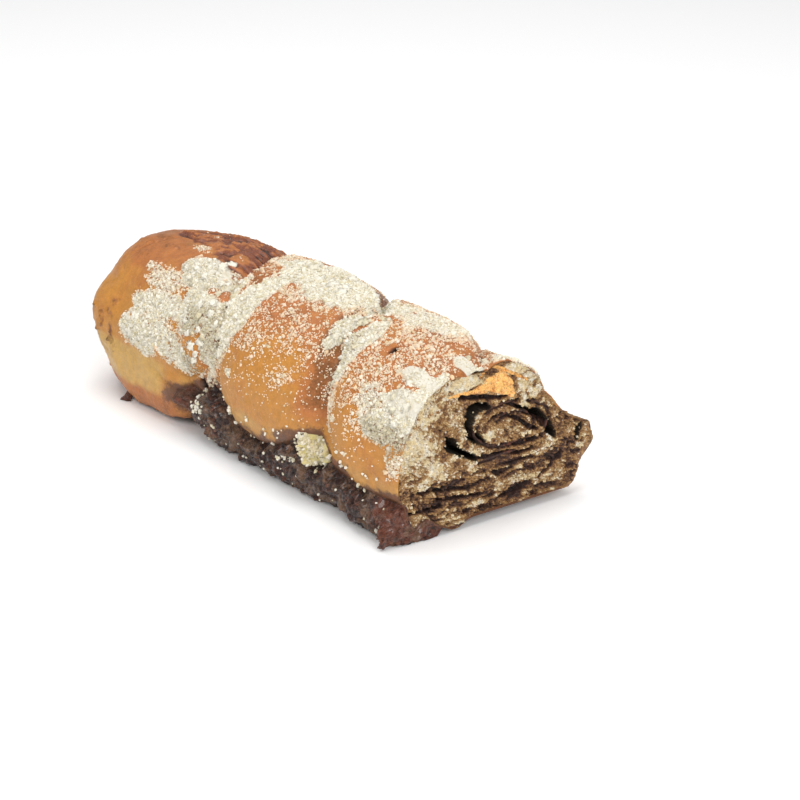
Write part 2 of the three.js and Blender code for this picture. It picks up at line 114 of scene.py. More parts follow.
# The filling's two rolls in the plane of the cut: the middle (y, z), the half sizes (a, b) and their growth
# for each turn, the superellipse's power, the start in degrees, the number of turns and the tilt in degrees.
ROLL = {
    "y": 8, "z": 39.6, "a": 9, "a_turn": 9.5, "b": 5.5, "b_turn": 4.8,
    "power": 2, "from": 150, "turns": 1.52, "tilt": -4,
}
LAYERS = {
    "y": 1, "z": 15.8, "a": 15, "a_turn": 12, "b": 2.2, "b_turn": 4,
    "power": 3, "from": 180, "turns": 2.3, "tilt": 1,
}
FILLING_WAVER = (0.4, 7.3)  # rise, waves for each turn

# ---- What only the looks have ----
LOWEST_ANGLE = -150  # where the rings of the crust start and end, under the loaf
BAND_BED = 2.5  # how far the crust is sunk under the sticky band
GROOVE = (4.5, 9.0, 112.0, 42.0)  # the creases' grooves on the back: depth, half width, mid angle, half span
HEAP_STEEPNESS = 1.35
LOOSE_LUMP = (46.5, -3.0, 8.6, 9.6)  # the lump in the notch: mid x, mid angle, half length in x, in angle
SHELL_START = -104.0  # the sticky shell's rounded-end side
SHELL_ROUND = (102.4, 3.6)  # where the shell's edge at the cut starts to curve in, and over what length
SHELL_BOTTOM = -141.0  # angle of the shell's far edge, under the loaf
SLAB_EDGE = -47.0  # angle where the slab under the loaf ends and the band on its side starts


# ---- Number helpers ----
def smooth(v):
    """0 below 0, 1 above 1, and a soft step between."""
    t = np.clip(v, 0.0, 1.0)
    return t * t * (3 - 2 * t)


def bump(v):
    """1 at 0, falling softly to 0 at -1 and 1."""
    return smooth(1 - np.abs(v))


def hashed(n):
    """A number from 0 to 1 that depends on n alone: the fraction of a large sine."""
    s = np.sin(n * 12.9898 + 4.137) * 43758.5453
    return s - np.floor(s)


def lumps(u, v, seed):
    """Smooth lumps from -1 to 1: random values on a square lattice, blended between its corners."""
    i, j = np.floor(u), np.floor(v)
    s, t = smooth(u - i), smooth(v - j)

    def at(a, b):
        return hashed(a * 7.31 + b * 57.17 + seed * 131.7)

    low = at(i, j) * (1 - s) + at(i + 1, j) * s
    high = at(i, j + 1) * (1 - s) + at(i + 1, j + 1) * s
    return 2 * (low * (1 - t) + high * t) - 1


def crags(u, v, seed, octaves=3):
    """Lumps upon lumps: each octave is half as large and a little over half as high."""
    total = 0.0
    for k in range(octaves):
        total = total + 0.55**k * lumps(u * 2**k + 3.1 * k, v * 2**k - 1.7 * k, seed + 11 * k)
    return total


def clumps(u, v, seed):
    """Pebbles one unit across: the distance to the nearest border, and each pebble's number from 0 to 1."""
    i, j = np.floor(u), np.floor(v)
    first = np.full(u.shape, 9.0)
    second, own = first, 0 * first
    for a in (-1, 0, 1):
        for b in (-1, 0, 1):
            key = (i + a) * 7.31 + (j + b) * 57.17 + seed * 131.7
            d = np.hypot(i + a + hashed(key) - u, j + b + hashed(key + 0.37) - v)
            second = np.minimum(second, np.maximum(first, d))
            own = np.where(d < first, hashed(key + 0.71), own)
            first = np.minimum(first, d)
    return second - first, own


def ridges(u, v, seed):
    """Sharp ridges from 0 to 1, where the lumps cross zero."""
    return 1 - np.abs(lumps(u, v, seed))


def curve(v, at, values):
    """A table read with rounded corners: the mean of four places near v."""
    return sum(np.interp(v + shift, at, values) for shift in (-9, -3, 3, 9)) / 4


def swelling(x, angle, where):
    """A rounded rise: a soft step down from its middle to an ellipse in x and angle."""
    mid_x, mid_a, half_x, half_a, rise, steep = where
    return rise * smooth(steep * (1 - np.hypot((x - mid_x) / half_x, (angle - mid_a) / half_a)))


# ---- The crust's surface ----
def core_radius(angle):
    """The section in the creases: a superellipse in polar form, flattened high on the back."""
    c, s = np.abs(np.cos(np.radians(angle))), np.sin(np.radians(angle))
    height = np.where(s > 0, CORE_UP[0], CORE_DOWN[0])
    power = np.where(s > 0, CORE_UP[1], CORE_DOWN[1])
    dip = np.maximum(0, np.cos(np.radians(angle - BACK_DIP[1]))) ** 3
    section = ((c / HALF_WIDTH) ** power + (np.abs(s) / height) ** power) ** (-1 / power)
    return section * (1 - BACK_DIP[0] * dip)


def near_crease(x, angle, crease, half, right=0.0):
    """1 on a line `right` of a crease, falling softly to 0 at the half width (mm along the loaf)."""
    return bump((x - curve(angle, ANGLES, crease) - right) / half)


def strand_rise(x, angle, left, right, front_edge):
    """One strand's bulge between its creases: a superellipse in x and angle."""
    if left is None:
        t = np.maximum(0, 1 + (x - curve(angle, ANGLES, right)) / FIRST_HALF)
    elif right is None:
        t = np.maximum(0, 1 - (x - curve(angle, ANGLES, left)) / LAST_HALF)
    else:
        a, b = curve(angle, ANGLES, left), curve(angle, ANGLES, right)
        t = np.abs((2 * x - a - b) / (b - a))
    front = np.maximum(0, (STRAND_FRONT - angle) / (STRAND_FRONT - front_edge))
    back = np.maximum(0, (angle - STRAND_BACK[0]) / (STRAND_BACK[1] - STRAND_BACK[0]))
    full = np.maximum(0, 1 - t**STRAND_POWER - front**STRAND_POWER - back**STRAND_POWER)
    return full ** (1 / STRAND_POWER) * curve(angle, RISE_ANGLES, RISE)


def strands_rise(x, angle):
    """The highest of the strands at a place, with rounded creases: a soft maximum."""
    sunken = smooth((-70 - x) / 55) * smooth((angle - 45) / 50)
    narrow = smooth((x - 66) / 44) * smooth((62 - angle) / 30)
    low = np.maximum(0, 1 - np.abs((x + 97) / 46) ** 3 - np.abs((angle + 12) / 23) ** STRAND_POWER)
    rises = np.stack([
        strand_rise(x, angle, None, CREASE_A, FRONT_EDGES[0]) * (1 - 0.75 * sunken),
        strand_rise(x, angle, CREASE_A, CREASE_B, FRONT_EDGES[1]),
        strand_rise(x, angle, CREASE_B, CREASE_C, FRONT_EDGES[2]) * (1 - 0.8 * narrow),
        strand_rise(x, angle, CREASE_C, None, FRONT_EDGES[3]) * 0.3,
        low ** (1 / STRAND_POWER) * 8.5,
    ])
    top = rises.max(axis=0)
    return top + STRAND_BLEND * np.log(np.exp((rises - top) / STRAND_BLEND).sum(axis=0))


def heap_rise(x, angle):
    """The topping's heaps: the highest soft mound at a place, made uneven by lumps."""
    rise = np.zeros(np.broadcast(x, angle).shape)
    for mid_x, mid_a, half_x, half_a, high in HEAPS:
        rise = np.maximum(rise, swelling(x, angle, (mid_x, mid_a, half_x, half_a, high, HEAP_STEEPNESS)))
    return rise * (1 + 0.35 * lumps(x / 4.5, angle / 5.2, 3))


def band_share(x, angle):
    """How much of the sticky band there is at a place, from 0 to 1."""
    return smooth((x + 58) / 16 + 0.5) * smooth((np.interp(x, BAND_X, BAND_TOP) - angle) / 7 + 0.5)


def crust_radius(x, angle):
    """The crust: the core, strands, slow waves, heaps and swellings, less the band's bed and the grooves."""
    uneven = sum(rise * lumps(x / wave, angle / turn, seed) for rise, wave, turn, seed in UNEVEN)
    depth, half, mid_angle, half_span = GROOVE
    near = np.maximum(near_crease(x, angle, CREASE_B, half), near_crease(x, angle, CREASE_C, half))
    groove = depth * near * bump((angle - mid_angle) / half_span)
    added = heap_rise(x, angle) + sum(swelling(x, angle, where) for where in SWELLINGS)
    raised = core_radius(angle) + strands_rise(x, angle) + uneven + added
    return raised - BAND_BED * band_share(x, angle) - groove


def floor_height(x, y, angle):
    """The height of the loaf's flat underside: lower at the rounded end, arched at the cut's front."""
    lip = smooth((-62 - x) / 10) * smooth((angle + 33) / 6)
    arch = 5 * smooth((x - 88) / 12) * bump((y + 38) / 9)
    crumb = 3.2 * smooth((x - 92) / 8) * bump((y + 22) / 9)
    return 4 * (1 - lip) + 0.6 * lip + arch - crumb


def surface(x, angle, out=0.0, under=0.0):
    """Points `out` beyond the crust: the radius about the axis, shrunk to a point at the rounded end."""
    x, angle, out = np.broadcast_arrays(*(np.asarray(values, float) for values in (x, angle, out)))
    t = np.clip((END_X + END_LENGTH - x) / END_LENGTH, 0, 1)
    r = (crust_radius(x, angle) + out) * (1 - t**END_POWER) ** (1 / END_POWER)
    y = AXIS_Y - r * np.cos(np.radians(angle))
    z = AXIS_Z + (TIP_Z - AXIS_Z) * t * t + r * np.sin(np.radians(angle))
    return np.stack([x, y, np.maximum(z, floor_height(x, y, angle) - under)], axis=-1)


# ---- Where the crust is what: masks from 0 to 1 ----
def patch(x, angle, where, ragged=0.22, grain=7.0, seed=20):
    """A soft patch with a ragged rim: mid x, mid angle, half length in x, in angle, amount."""
    mid_x, mid_a, half_x, half_a, amount = where
    x, angle = np.broadcast_arrays(np.asarray(x, float), np.asarray(angle, float))
    d = np.hypot((x - mid_x) / half_x, (angle - mid_a) / half_a)
    near = d < 1 + 1.9 * ragged
    rough = crags(x[near] / grain, angle[near] / grain / 1.15, seed)
    share = np.zeros(d.shape)
    share[near] = amount * smooth(2.2 * (1 - d[near] - ragged * rough))
    return share


# Where the fine topping lies: mid x, mid angle, half length in x, in angle, amount.
DUSTED = (
    (-61, 54, 24, 13, 1.0),
    (-50, 36, 16, 15, 0.95),
    (-70, 30, 15, 7, 0.85),
    (-84, 13, 20, 12, 0.95),
    (-70, 19, 17, 13, 0.8),
    (-89, 27, 10, 6, 0.85),
    (-79, 42, 20, 10, 0.66),
    (-73, 31, 22, 9, 0.74),
    (-94, 45, 11, 5, 0.6),
    (-45, 57, 9, 12, 0.9),
    (-50, 12, 16, 11, 0.78),
    (-61, 15, 14, 8, 0.75),
    (-34, 30, 7, 30, 0.95),
    (-6, 94, 54, 26, 1.0),
    (-26, 52, 12, 40, 0.95),
    (8, 78, 28, 13, 0.9),
    (-2, 70, 38, 12, 0.45),
    (4, 46, 42, 22, 0.29),
    (22, 26, 12, 8, 0.3),
    (38, 64, 11, 22, 1.0),
    (52, 52, 7, 30, 0.85),
    (56, 22, 6, 20, 0.5),
    (76, 62, 38, 50, 0.37),
    (96, 54, 13, 6, 1.0),
    (97, 39, 16, 9, 1.0),
    (94, 27, 17, 13, 0.9),
    (82, 34, 12, 14, 0.7),
    (105, 42, 9, 26, 1.0),
    (103, 16, 8, 13, 0.62),
    (60, 98, 34, 22, 0.72),
    (-100, 100, 16, 20, 0.3),
    (101, 118, 9, 40, 0.7),
    (103, 78, 7, 9, 0.95),
    (-13, 17, 3, 2.4, 0.8),
    (62, 20, 3, 3, 0.7),
)
CLEAN = ((94, 82, 11, 6, 0.9), (71, 61, 4, 5, 0.7), (62, 5, 14, 12, 0.6))


def dust(x, angle):
    """How thickly the fine topping lies, from 0 to 1."""
    amount = np.zeros(np.broadcast(x, angle).shape)
    for k, where in enumerate(DUSTED):
        amount = np.maximum(amount, patch(x, angle, where, seed=20 + k))
    for where in CLEAN:
        amount = amount - patch(x, angle, where, seed=50)
    return np.clip(amount, 0, 1) * smooth((x - END_X - 12) / 20)


# Places on the bare filling where orange crust or paler dough shows.
SPOTS = ((-61, 74, 7, 6, 1.0), (-94, 85, 5, 3, 0.8), (-77, 97, 5, 3, 0.8), (-104, 70, 8, 4, 0.6))


def opened(x, angle):
    """Where the filling lies bare: the top of the first strand, down into the first crease."""
    lowest = np.interp(x, [-126, -112, -100, -84, -62, -46, -38], [80, 74, 66, 70, 68, 62, 56])
    inside = np.minimum.reduce([(angle - lowest) / 11 + 0.5, (x + 124) / 15, (134 - angle) / 18 + 0 * x])
    share = smooth(inside + 0.55 * crags(x / 8, angle / 7, 31) * (1 + 0.6 * smooth((angle - 95) / 20)))
    bare = share * smooth((curve(angle, ANGLES, CREASE_A) + 5 - x) / 5)
    return bare * (1 - sum(patch(x, angle, spot, seed=32) for spot in SPOTS))


def off_tip(x):
    """0 at the rounded end's tip, where all angles meet, and 1 from 10 mm beside it."""
    return smooth((x - END_X - 1) / 9)


def toasted(x, angle):
    """Browning and painted shade: browner on top, paler low on the sides, and painted shade on each strand's
    right flank and low on the first strand.
    """
    up = smooth((angle - 16) / 42)
    # painted shade: the right flanks (flank_b, flank_a) and the first strand's low side (low) are darkened
    flank_b = near_crease(x, angle, CREASE_B, 15, right=-5) * smooth((angle - 4) / 20)
    flank_a = near_crease(x, angle, CREASE_A, 12, right=-5)
    far = smooth((angle - 125) / 45) * 0.4
    low = smooth((-9 - angle) / 8) * smooth((angle + 75) / 30) * smooth((-52 - x) / 12)
    tone = 0.6 * up + 0.85 * flank_b + 0.35 * flank_a + 0.6 * low + 0.17 * crags(x / 19, angle / 17, 41)
    tone = tone + 0.1 * crags(x / 5, angle / 5, 42) - far
    return np.clip(0.3 + (tone - 0.3) * off_tip(x), 0, 1)


def line_near(x, angle, ends, half):
    """1 along a line on the crust, falling softly to 0 at its half width (mm, with 0.9 mm to a degree)."""
    (x0, a0), (x1, a1) = ends
    dx, da = x1 - x0, (a1 - a0) * 0.9
    px, pa = x - x0, (angle - a0) * 0.9
    along = np.clip((px * dx + pa * da) / (dx * dx + da * da), 0, 1)
    waver = 0.8 * lumps(x / 6, angle / 9, 61)
    faint = 0.55 + 0.45 * lumps(x / 8, angle / 8, 62)
    off = np.hypot(px - along * dx, pa - along * da + waver)
    return faint * bump(off / half) * np.sqrt(bump(2 * along - 1))


SEAMS = (
    ((-98, -18), (-72, -13), 1.5), ((-80, 1), (-54, -8), 2.2), ((-126, 1), (-108, -5), 1.5),
    ((-119, 46), (-110, 64), 1.3), ((-112, 60), (-104, 78), 1.5), ((-126, 24), (-112, 34), 1.0),
)


def seams(x, angle):
    """The folds between the layers low on the first strand."""
    return np.clip(sum(line_near(x, angle, (a, b), half) for a, b, half in SEAMS), 0, 1)


STAIN_X = (-76, -67, -58, -50, -42, -34)
STAIN_TOP = (-36, -10, -7, -4, 2, 5)


def stain_top(x):
    """The upper edge, in degrees, of what the sticky filling has stained."""
    return np.interp(x, STAIN_X + tuple(BAND_X[3:]), STAIN_TOP + tuple(top + 3 for top in BAND_TOP[3:]))


def stain_start(angle):
    """Where along the loaf the stain begins: further right the lower down."""
    return -71 + 1.6 * np.clip(-10 - angle, 0, 11)


def stained(x, angle):
    """Where the sticky filling has stained the crust: a soft rim over the band, and the cut's lower edge."""
    front = smooth((angle + 125) / 40)
    top = front * smooth((stain_top(x) + 7 - angle) / 9 + 0.3 * crags(x / 5, angle / 5, 71))
    top = top + smooth((x - 94) / 9) * (smooth((angle - 198 + 4 * lumps(x / 5, 0.5, 73)) / 9) + 1 - front)
    return top * smooth((x - stain_start(angle) + 5 * crags(x / 4, angle / 4, 72)) / 19 + 0.42)


def dark_marks_and_pit_shade(x, angle):
    """Rough dark spots on the rounded end's tip and along its lower rim, and painted shade in the pits."""
    tip = patch(x, angle, (-113, 11, 12, 12, 1), 0.5, 5.0, 81)
    tip = tip * smooth(0.45 + 0.9 * crags(x / 3.2, angle / 4.5, 82))
    side = patch(x, angle, (-121, -12, 10, 15, 0.8), 0.5, 5.0, 86)
    side = side * smooth(0.35 + 1.1 * crags(x / 3, angle / 4.5, 87))
    rim = smooth((x + 132) / 8) * smooth((-66 - x) / 16)
    rim = rim * smooth((-24 - angle + 3 * lumps(x / 5, 0.5, 83)) / 5)
    high = patch(x, angle, (-112, 58, 16, 12, 0.6), 0.6, 6.0, 84)
    high = high * smooth(0.2 + 1.2 * crags(x / 5, angle / 4, 85))
    broken = 0.85 + 0.4 * crags(x / 1.6, angle / 2.2, 88, 2)
    return np.clip(np.maximum(tip, side) * broken + 0.75 * rim + 0.8 * high + 1.6 * shaded_pit(x, angle), 0, 1)


PITS = ((71.5, 61, 3.0, 3.4), (-42, 0.5, 3.6, 4.2))  # mid x, mid angle, half sizes


def shaded_pit(x, angle):
    """The small holes, one in the third strand and one at the foot of the first crease, whose colour is
    darkened as painted shade.
    """
    off = [np.hypot((x - mid_x) / half_x, (angle - mid_a) / half_a) for mid_x, mid_a, half_x, half_a in PITS]
    return np.maximum.reduce([smooth(1.7 * (1 - d)) for d in off])


def creases_filled(x, angle):
    """The topping that fills the two front creases: a soft ridge along each, in mm."""
    half = 5.5
    first = near_crease(x, angle, CREASE_A, half) * smooth((angle - 5) / 10) * smooth((48 - angle) / 14)
    second = near_crease(x, angle, CREASE_B, half) * smooth((angle - 12) / 10) * smooth((68 - angle) / 8)
    return np.maximum(2.2 * first, 0.8 * second)


def slabs(x, angle):
    """The smooth slabs of topping near the cut, and on the first strand."""
    upper = patch(x, angle, (96, 54, 12, 5.5, 1), 0.16, 6.0, 86)
    lower = patch(x, angle, (99, 40, 14, 7.5, 1), 0.16, 6.0, 87)
    by_top = patch(x, angle, (104, 76, 8, 7, 1), 0.16, 6.0, 86)
    left = patch(x, angle, (-60, 57, 17, 8, 0.8), 0.2, 7.0, 88)
    return np.clip(np.maximum.reduce([upper, lower, by_top, left]), 0, 1)


def shaded_topping(x, angle):
    """Where painted shade lies on the topping, greyish with dark specks: low by the cut and down the two
    front creases.
    """
    by_cut = patch(x, angle, (94, 24, 18, 11, 1), 0.3, 7.0, 89)
    crease = patch(x, angle, (-41, 24, 13, 20, 1), 0.35, 7.0, 90)
    second = patch(x, angle, (45, 44, 9, 30, 0.5), 0.35, 7.0, 98)
    notch = near_crease(x, angle, CREASE_A, 3.4) * smooth((angle - 30) / 12) * smooth((82 - angle) / 12)
    return np.clip(np.maximum.reduce([by_cut, crease, second, notch]), 0, 1)


def torn(x, angle):
    """Where the crust by the cut is torn crumb: over the back half of its rim."""
    ragged = 2.0 * crags(x / 4, angle / 5, 99)
    start = 103 - 4 * smooth((angle - 120) / 30)
    return smooth((x - start + ragged) / 3) * smooth((angle - 150) / 12)


def folds(x, angle):
    """The folds of the bare filling, from 0 in the furrows to 1 on the crests."""
    run = ridges(x / 15 + angle / 22, angle / 6 - x / 34, 92)
    small = ridges(x / 6 + angle / 12, angle / 2.6 - x / 16, 94)
    return np.clip(0.8 * run**2 + 0.2 * small**2 + 0.45 * crags(x / 4, angle / 3.2, 93) - 0.05, 0, 1)


def crust_relief(x, angle, masks):
    """The crust's fine relief in mm: crumbs under the dust, folds of bare filling, seams and pits."""
    thick, slab = masks["dust"], masks["slab"]
    powder = thick * (0.3 + 0.45 * (1 - 0.7 * slab) * crags(x / 2.6, angle / 2.9, 91, 3))
    powder = powder + 0.5 * thick**2 * crags(x / 7, angle / 8, 96) + 0.5 * slab
    bare = masks["opened"] * (2.1 * masks["fold"] - 1.2)
    powder = powder + creases_filled(x, angle)
    powder = powder + masks["dull"] * thick * 0.5 * crags(x / 1.7, angle / 2, 100, 2)
    bare = bare + masks["torn"] * 0.8 * crags(x / 2.2, angle / 2.6, 104)
    skin = 0.28 * crags(x / 7.5, angle / 9, 94, 3) + 0.12 * crags(x / 1.5, angle / 1.9, 97, 2)
    rough = masks["dark_marks_and_pit_shade"] * (0.4 + 1.2 * crags(x / 2.4, angle / 3.0, 95))
    return powder + bare + skin + rough - 1.3 * masks["seam"] - 3.5 * shaded_pit(x, angle)


def lying_dust(x, angle):
    """How thickly the topping lies on crust and bare filling together."""
    few = patch(x, angle, (-84, 68, 9, 4, 0.55), seed=34)
    return np.maximum(dust(x, angle) * (1 - 0.96 * opened(x, angle)), few)


def crust_masks(x, angle):
    """Every mask of the crust's material at the given places."""
    bare = opened(x, angle)
    return {
        "dust": lying_dust(x, angle),
        "opened": bare,
        "fold": folds(x, angle),
        "toast_and_shade": toasted(x, angle),
        "stain": stained(x, angle),
        "seam": seams(x, angle),
        "dark_marks_and_pit_shade": dark_marks_and_pit_shade(x, angle),
        "slab": slabs(x, angle),
        "dull": shaded_topping(x, angle),
        "torn": torn(x, angle),
        "shaded_pit": shaded_pit(x, angle),
    }


# ---- Making meshes ----
def new_piece(name, points, faces, material, replaced=(), masks=None, flat=False):
    """A mesh object from arrays, moved into the model's frame, riding on the loaf.

    `faces` is an array of triangles or quads, or a list of such arrays; `masks` are values at the points.
    """
    groups = faces if isinstance(faces, list) else [faces]
    corners = np.concatenate([g.reshape(-1) for g in groups]).astype(np.int32)
    sizes = np.concatenate([np.full(len(g), g.shape[1], np.int32) for g in groups])
    mesh = bpy.data.meshes.new(name)
    mesh.vertices.add(len(points))
    mesh.vertices.foreach_set("co", ((points + SHIFT) * MM).astype(np.float32).ravel())
    mesh.loops.add(len(corners))
    mesh.loops.foreach_set("vertex_index", corners)
    mesh.polygons.add(len(sizes))
    mesh.polygons.foreach_set("loop_start", np.concatenate([[0], np.cumsum(sizes)[:-1]]).astype(np.int32))
    mesh.polygons.foreach_set("use_smooth", np.full(len(sizes), not flat))
    for key, values in (masks or {}).items():
        attribute = mesh.attributes.new(key, "FLOAT", "POINT")
        attribute.data.foreach_set("value", np.asarray(values, np.float32).ravel())
    mesh.update(calc_edges=True)
    mesh.validate()
    mesh.materials.append(material)
    piece = bpy.data.objects.new(name, mesh)
    bpy.context.scene.collection.objects.link(piece)
    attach(piece, "root")
    if replaced:
        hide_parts(*replaced)
    return piece


def grid_faces(rows, columns, wrap_columns=False, start=0, turned=False):
    """Quads between the points of a grid, whose last column may close on the first."""
    i = np.arange(rows - 1)[:, None]
    j = np.arange(columns if wrap_columns else columns - 1)[None, :]
    i2, j2 = i + 1, (j + 1) % columns
    quads = np.stack([i * columns + j, i2 * columns + j, i2 * columns + j2, i * columns + j2], axis=-1)
    quads = quads.reshape(-1, 4) + start
    return quads[:, ::-1] if turned else quads


def fan_faces(ring, middle, turned=False):
    """Triangles from a closed ring of points to one point."""
    around = np.stack([ring, np.roll(ring, -1), np.full(len(ring), middle)], axis=-1)
    return around[:, ::-1] if turned else around


def tube_faces(rows, columns, turned=False):
    """A tube of rings with a fan at each end, to two more points that come after those of the rings."""
    first = np.arange(columns)
    last = (rows - 1) * columns + first
    return [
        grid_faces(rows, columns, wrap_columns=True, turned=turned),
        fan_faces(first, rows * columns, turned=turned),
        fan_faces(last, rows * columns + 1, turned=not turned),
    ]


def grid_edge(index):
    """The indices round the edge of a grid, in order."""
    return np.concatenate([index[:-1, 0], index[-1, :-1], index[:0:-1, -1], index[0, :0:-1]])


def shell_faces(rows, columns):
    """An outer and an inner grid of points, joined round their edges into a closed shell."""
    count = rows * columns
    ring = grid_edge(np.arange(count).reshape(rows, columns))
    strip = np.concatenate([ring, ring + count])
    return [
        grid_faces(rows, columns),
        grid_faces(rows, columns, start=count, turned=True),
        strip[grid_faces(2, len(ring), wrap_columns=True)],
    ]


def wrapped(angle):
    """Angles in the turn that starts at LOWEST_ANGLE."""
    return np.mod(angle - LOWEST_ANGLE, 360) + LOWEST_ANGLE


def banded(bands):
    """Values in runs of even steps: each band is its first value and the number of steps to the next band."""
    starts = [b[0] for b in bands]
    return np.concatenate([
        np.linspace(starts[k], starts[k + 1], steps, endpoint=False)
        for k, (_, steps) in enumerate(bands[:-1])
    ] + [np.array(starts[-1:])])


# ---- Shader maths ----
class Value:
    """A number socket in a material, on which + - and * add Math nodes."""

    def __init__(self, looks, socket):
        self.looks = looks
        self.socket = socket

    def maths(self, operation, first, second):
        return self.looks.node("ShaderNodeMath", {"operation": operation}, {0: first, 1: second})

    def __add__(self, other):
        return self.maths("ADD", self, other)

    def __sub__(self, other):
        return self.maths("SUBTRACT", self, other)

    def __rsub__(self, other):
        return self.maths("SUBTRACT", other, self)

    def __mul__(self, other):
        return self.maths("MULTIPLY", self, other)

    __radd__ = __add__
    __rmul__ = __mul__

    def step(self, low, high):
        """A soft step from 0 at `low` to 1 at `high`."""
        inputs = {"Value": self, "From Min": low, "From Max": high}
        return self.looks.node("ShaderNodeMapRange", {"interpolation_type": "SMOOTHSTEP"}, inputs)


class Looks:
    """A material's node tree, with a short way to add each kind of node."""

    def __init__(self, name):
        self.material = bpy.data.materials.new(name)
        self.material.use_nodes = True
        self.tree = self.material.node_tree
        self.tree.nodes.clear()
        self.place = self.node("ShaderNodeTexCoord", {}, {}, "Object")

    def node(self, kind, settings, inputs, output=0):
        """A node of that kind with its settings, then its inputs as values or links; gives one output."""
        made = self.tree.nodes.new(kind)
        for name, value in settings.items():
            setattr(made, name, value)
        for key, value in inputs.items():
            self.feed(made.inputs[key], value)
        return Value(self, made.outputs[output])

    def feed(self, socket, value):
        """Links a value to a socket, or sets the socket's own constant."""
        if isinstance(value, Value):
            self.tree.links.new(value.socket, socket)
        elif hasattr(socket.default_value, "__len__") and len(socket.default_value) == 4:
            socket.default_value = (*value[:3], 1.0)
        else:
            socket.default_value = value

    def mask(self, name):
        """A value stored at the mesh's points."""
        return self.node("ShaderNodeAttribute", {"attribute_name": name}, {}, "Fac")

    def noise(self, size_mm, detail=3.0, roughness=0.55):
        """Noise from 0 to 1 with features of about that size."""
        inputs = {"Vector": self.place, "Scale": 1 / (size_mm * MM), "Detail": detail, "Roughness": roughness}
        return self.node("ShaderNodeTexNoise", {}, inputs, "Fac")

    def cells(self, size_mm):
        """Distance to scattered points, in shares of their spacing."""
        inputs = {"Vector": self.place, "Scale": 1 / (size_mm * MM)}
        return self.node("ShaderNodeTexVoronoi", {"feature": "F1"}, inputs, "Distance")

    def mix(self, share, first, second):
        """A colour between two."""
        inputs = {"Factor": share, 6: first, 7: second}
        return self.node("ShaderNodeMix", {"data_type": "RGBA"}, inputs, 2)

    def scaled(self, base, share):
        """A colour made lighter or darker by a value."""
        grey = self.node("ShaderNodeCombineXYZ", {}, {0: share, 1: share, 2: share})
        multiply = {"data_type": "RGBA", "blend_type": "MULTIPLY"}
        return self.node("ShaderNodeMix", multiply, {"Factor": 1.0, 6: base, 7: grey}, 2)

    def bump(self, height, depth_mm):
        """A normal that leans with a height, which stands for that depth."""
        return self.node("ShaderNodeBump", {}, {"Height": height, "Distance": depth_mm * MM, "Strength": 1.0})

    def finish(self, inputs):
        """The surface shader with its inputs, joined to the output."""
        shader = self.node("ShaderNodeBsdfPrincipled", {}, inputs)
        output = self.tree.nodes.new("ShaderNodeOutputMaterial")
        self.tree.links.new(shader.socket, output.inputs["Surface"])
        return self.material


def paint(red, green, blue):
    """A linear colour from the 0 to 255 values of a screen colour."""
    share = np.array([red, green, blue]) / 255
    linear = np.where(share <= 0.04045, share / 12.92, ((share + 0.055) / 1.055) ** 2.4)
    return tuple(float(v) for v in linear)


def colour(name, description, *screen):
    """A colour that a user may change, given by its screen values."""
    return FloatVectorProperty(
        name=name, description=description, subtype="COLOR", size=3, min=0, max=1, default=paint(*screen)
    )


def length(name, description, default):
    """A length that a user may change, given in mm."""
    return FloatProperty(name=name, description=description, default=default * MM, unit="LENGTH", min=0.0)


def number(name, description, default):
    """A number of pieces that a user may change."""
    return IntProperty(name=name, description=description, default=default, min=0)


class BabkaColours(bpy.types.PropertyGroup):
    """The loaf's colours."""

    gold: colour("Crust gold", "Crust low on the sides", 186, 128, 58)
    brown: colour("Crust brown", "Crust where it is browned", 172, 107, 58)
    # dark is also the colour of painted shade on the strands' right flanks and low sides
    dark: colour("Crust dark", "Crust where it is browned most", 108, 66, 31)
    honey: colour("Pale crust", "Crust of the lowest strand", 192, 152, 86)
    filling: colour("Filling", "Dark cinnamon filling", 54, 34, 28)
    syrup: colour("Syrup", "Reddish caramelised filling where it is thin", 120, 69, 50)
    stain: colour("Stained crust", "Crust soaked by the sticky filling", 92, 62, 48)
    glaze: colour("Glaze", "Milky brown places in the sticky foot", 122, 94, 72)
    cream: colour("Streusel", "Pale crumb topping", 226, 221, 207)
    # shade is also the colour of painted shade on the topping in its shaded zones
    shade: colour("Streusel shade", "Yellowish parts of the topping", 203, 192, 160)
    toasted: colour("Toasted grains", "Single grains of topping on the crust", 228, 190, 150)
    butter: colour("Butter", "The loose lump in the notch", 202, 188, 128)
    crumb: colour("Crumb", "Cut crumb between the layers", 164, 126, 80)
    pith: colour("Pale crumb", "Pale yellowish crumb on the cut", 216, 196, 154)
    damp: colour("Damp crumb", "Cut crumb stained by the filling", 112, 78, 54)
    dough: colour("Light dough", "Clean dough at the top of the cut", 220, 167, 96)


class BabkaSizes(bpy.types.PropertyGroup):
    """Sizes and numbers of the loaf's fine detail."""

    grain: length("Grain", "Radius of a fine grain of topping", 0.34)
    nib: length("Crumb of topping", "Radius of a middling crumb of topping", 0.62)
    grains: number("Grains", "Number of fine grains in each of three pieces", 23000)
    loose: number("Loose crumbs", "Number of loose crumbs on the cut", 3400)
    nibs: number("Crumbs", "Number of middling crumbs", 4200)
    fallen: number("Fallen crumbs", "Number of crumbs on the sticky band", 420)


def chosen():
    """The scene's colours and sizes."""
    return bpy.context.scene.babka_colours, bpy.context.scene.babka_sizes


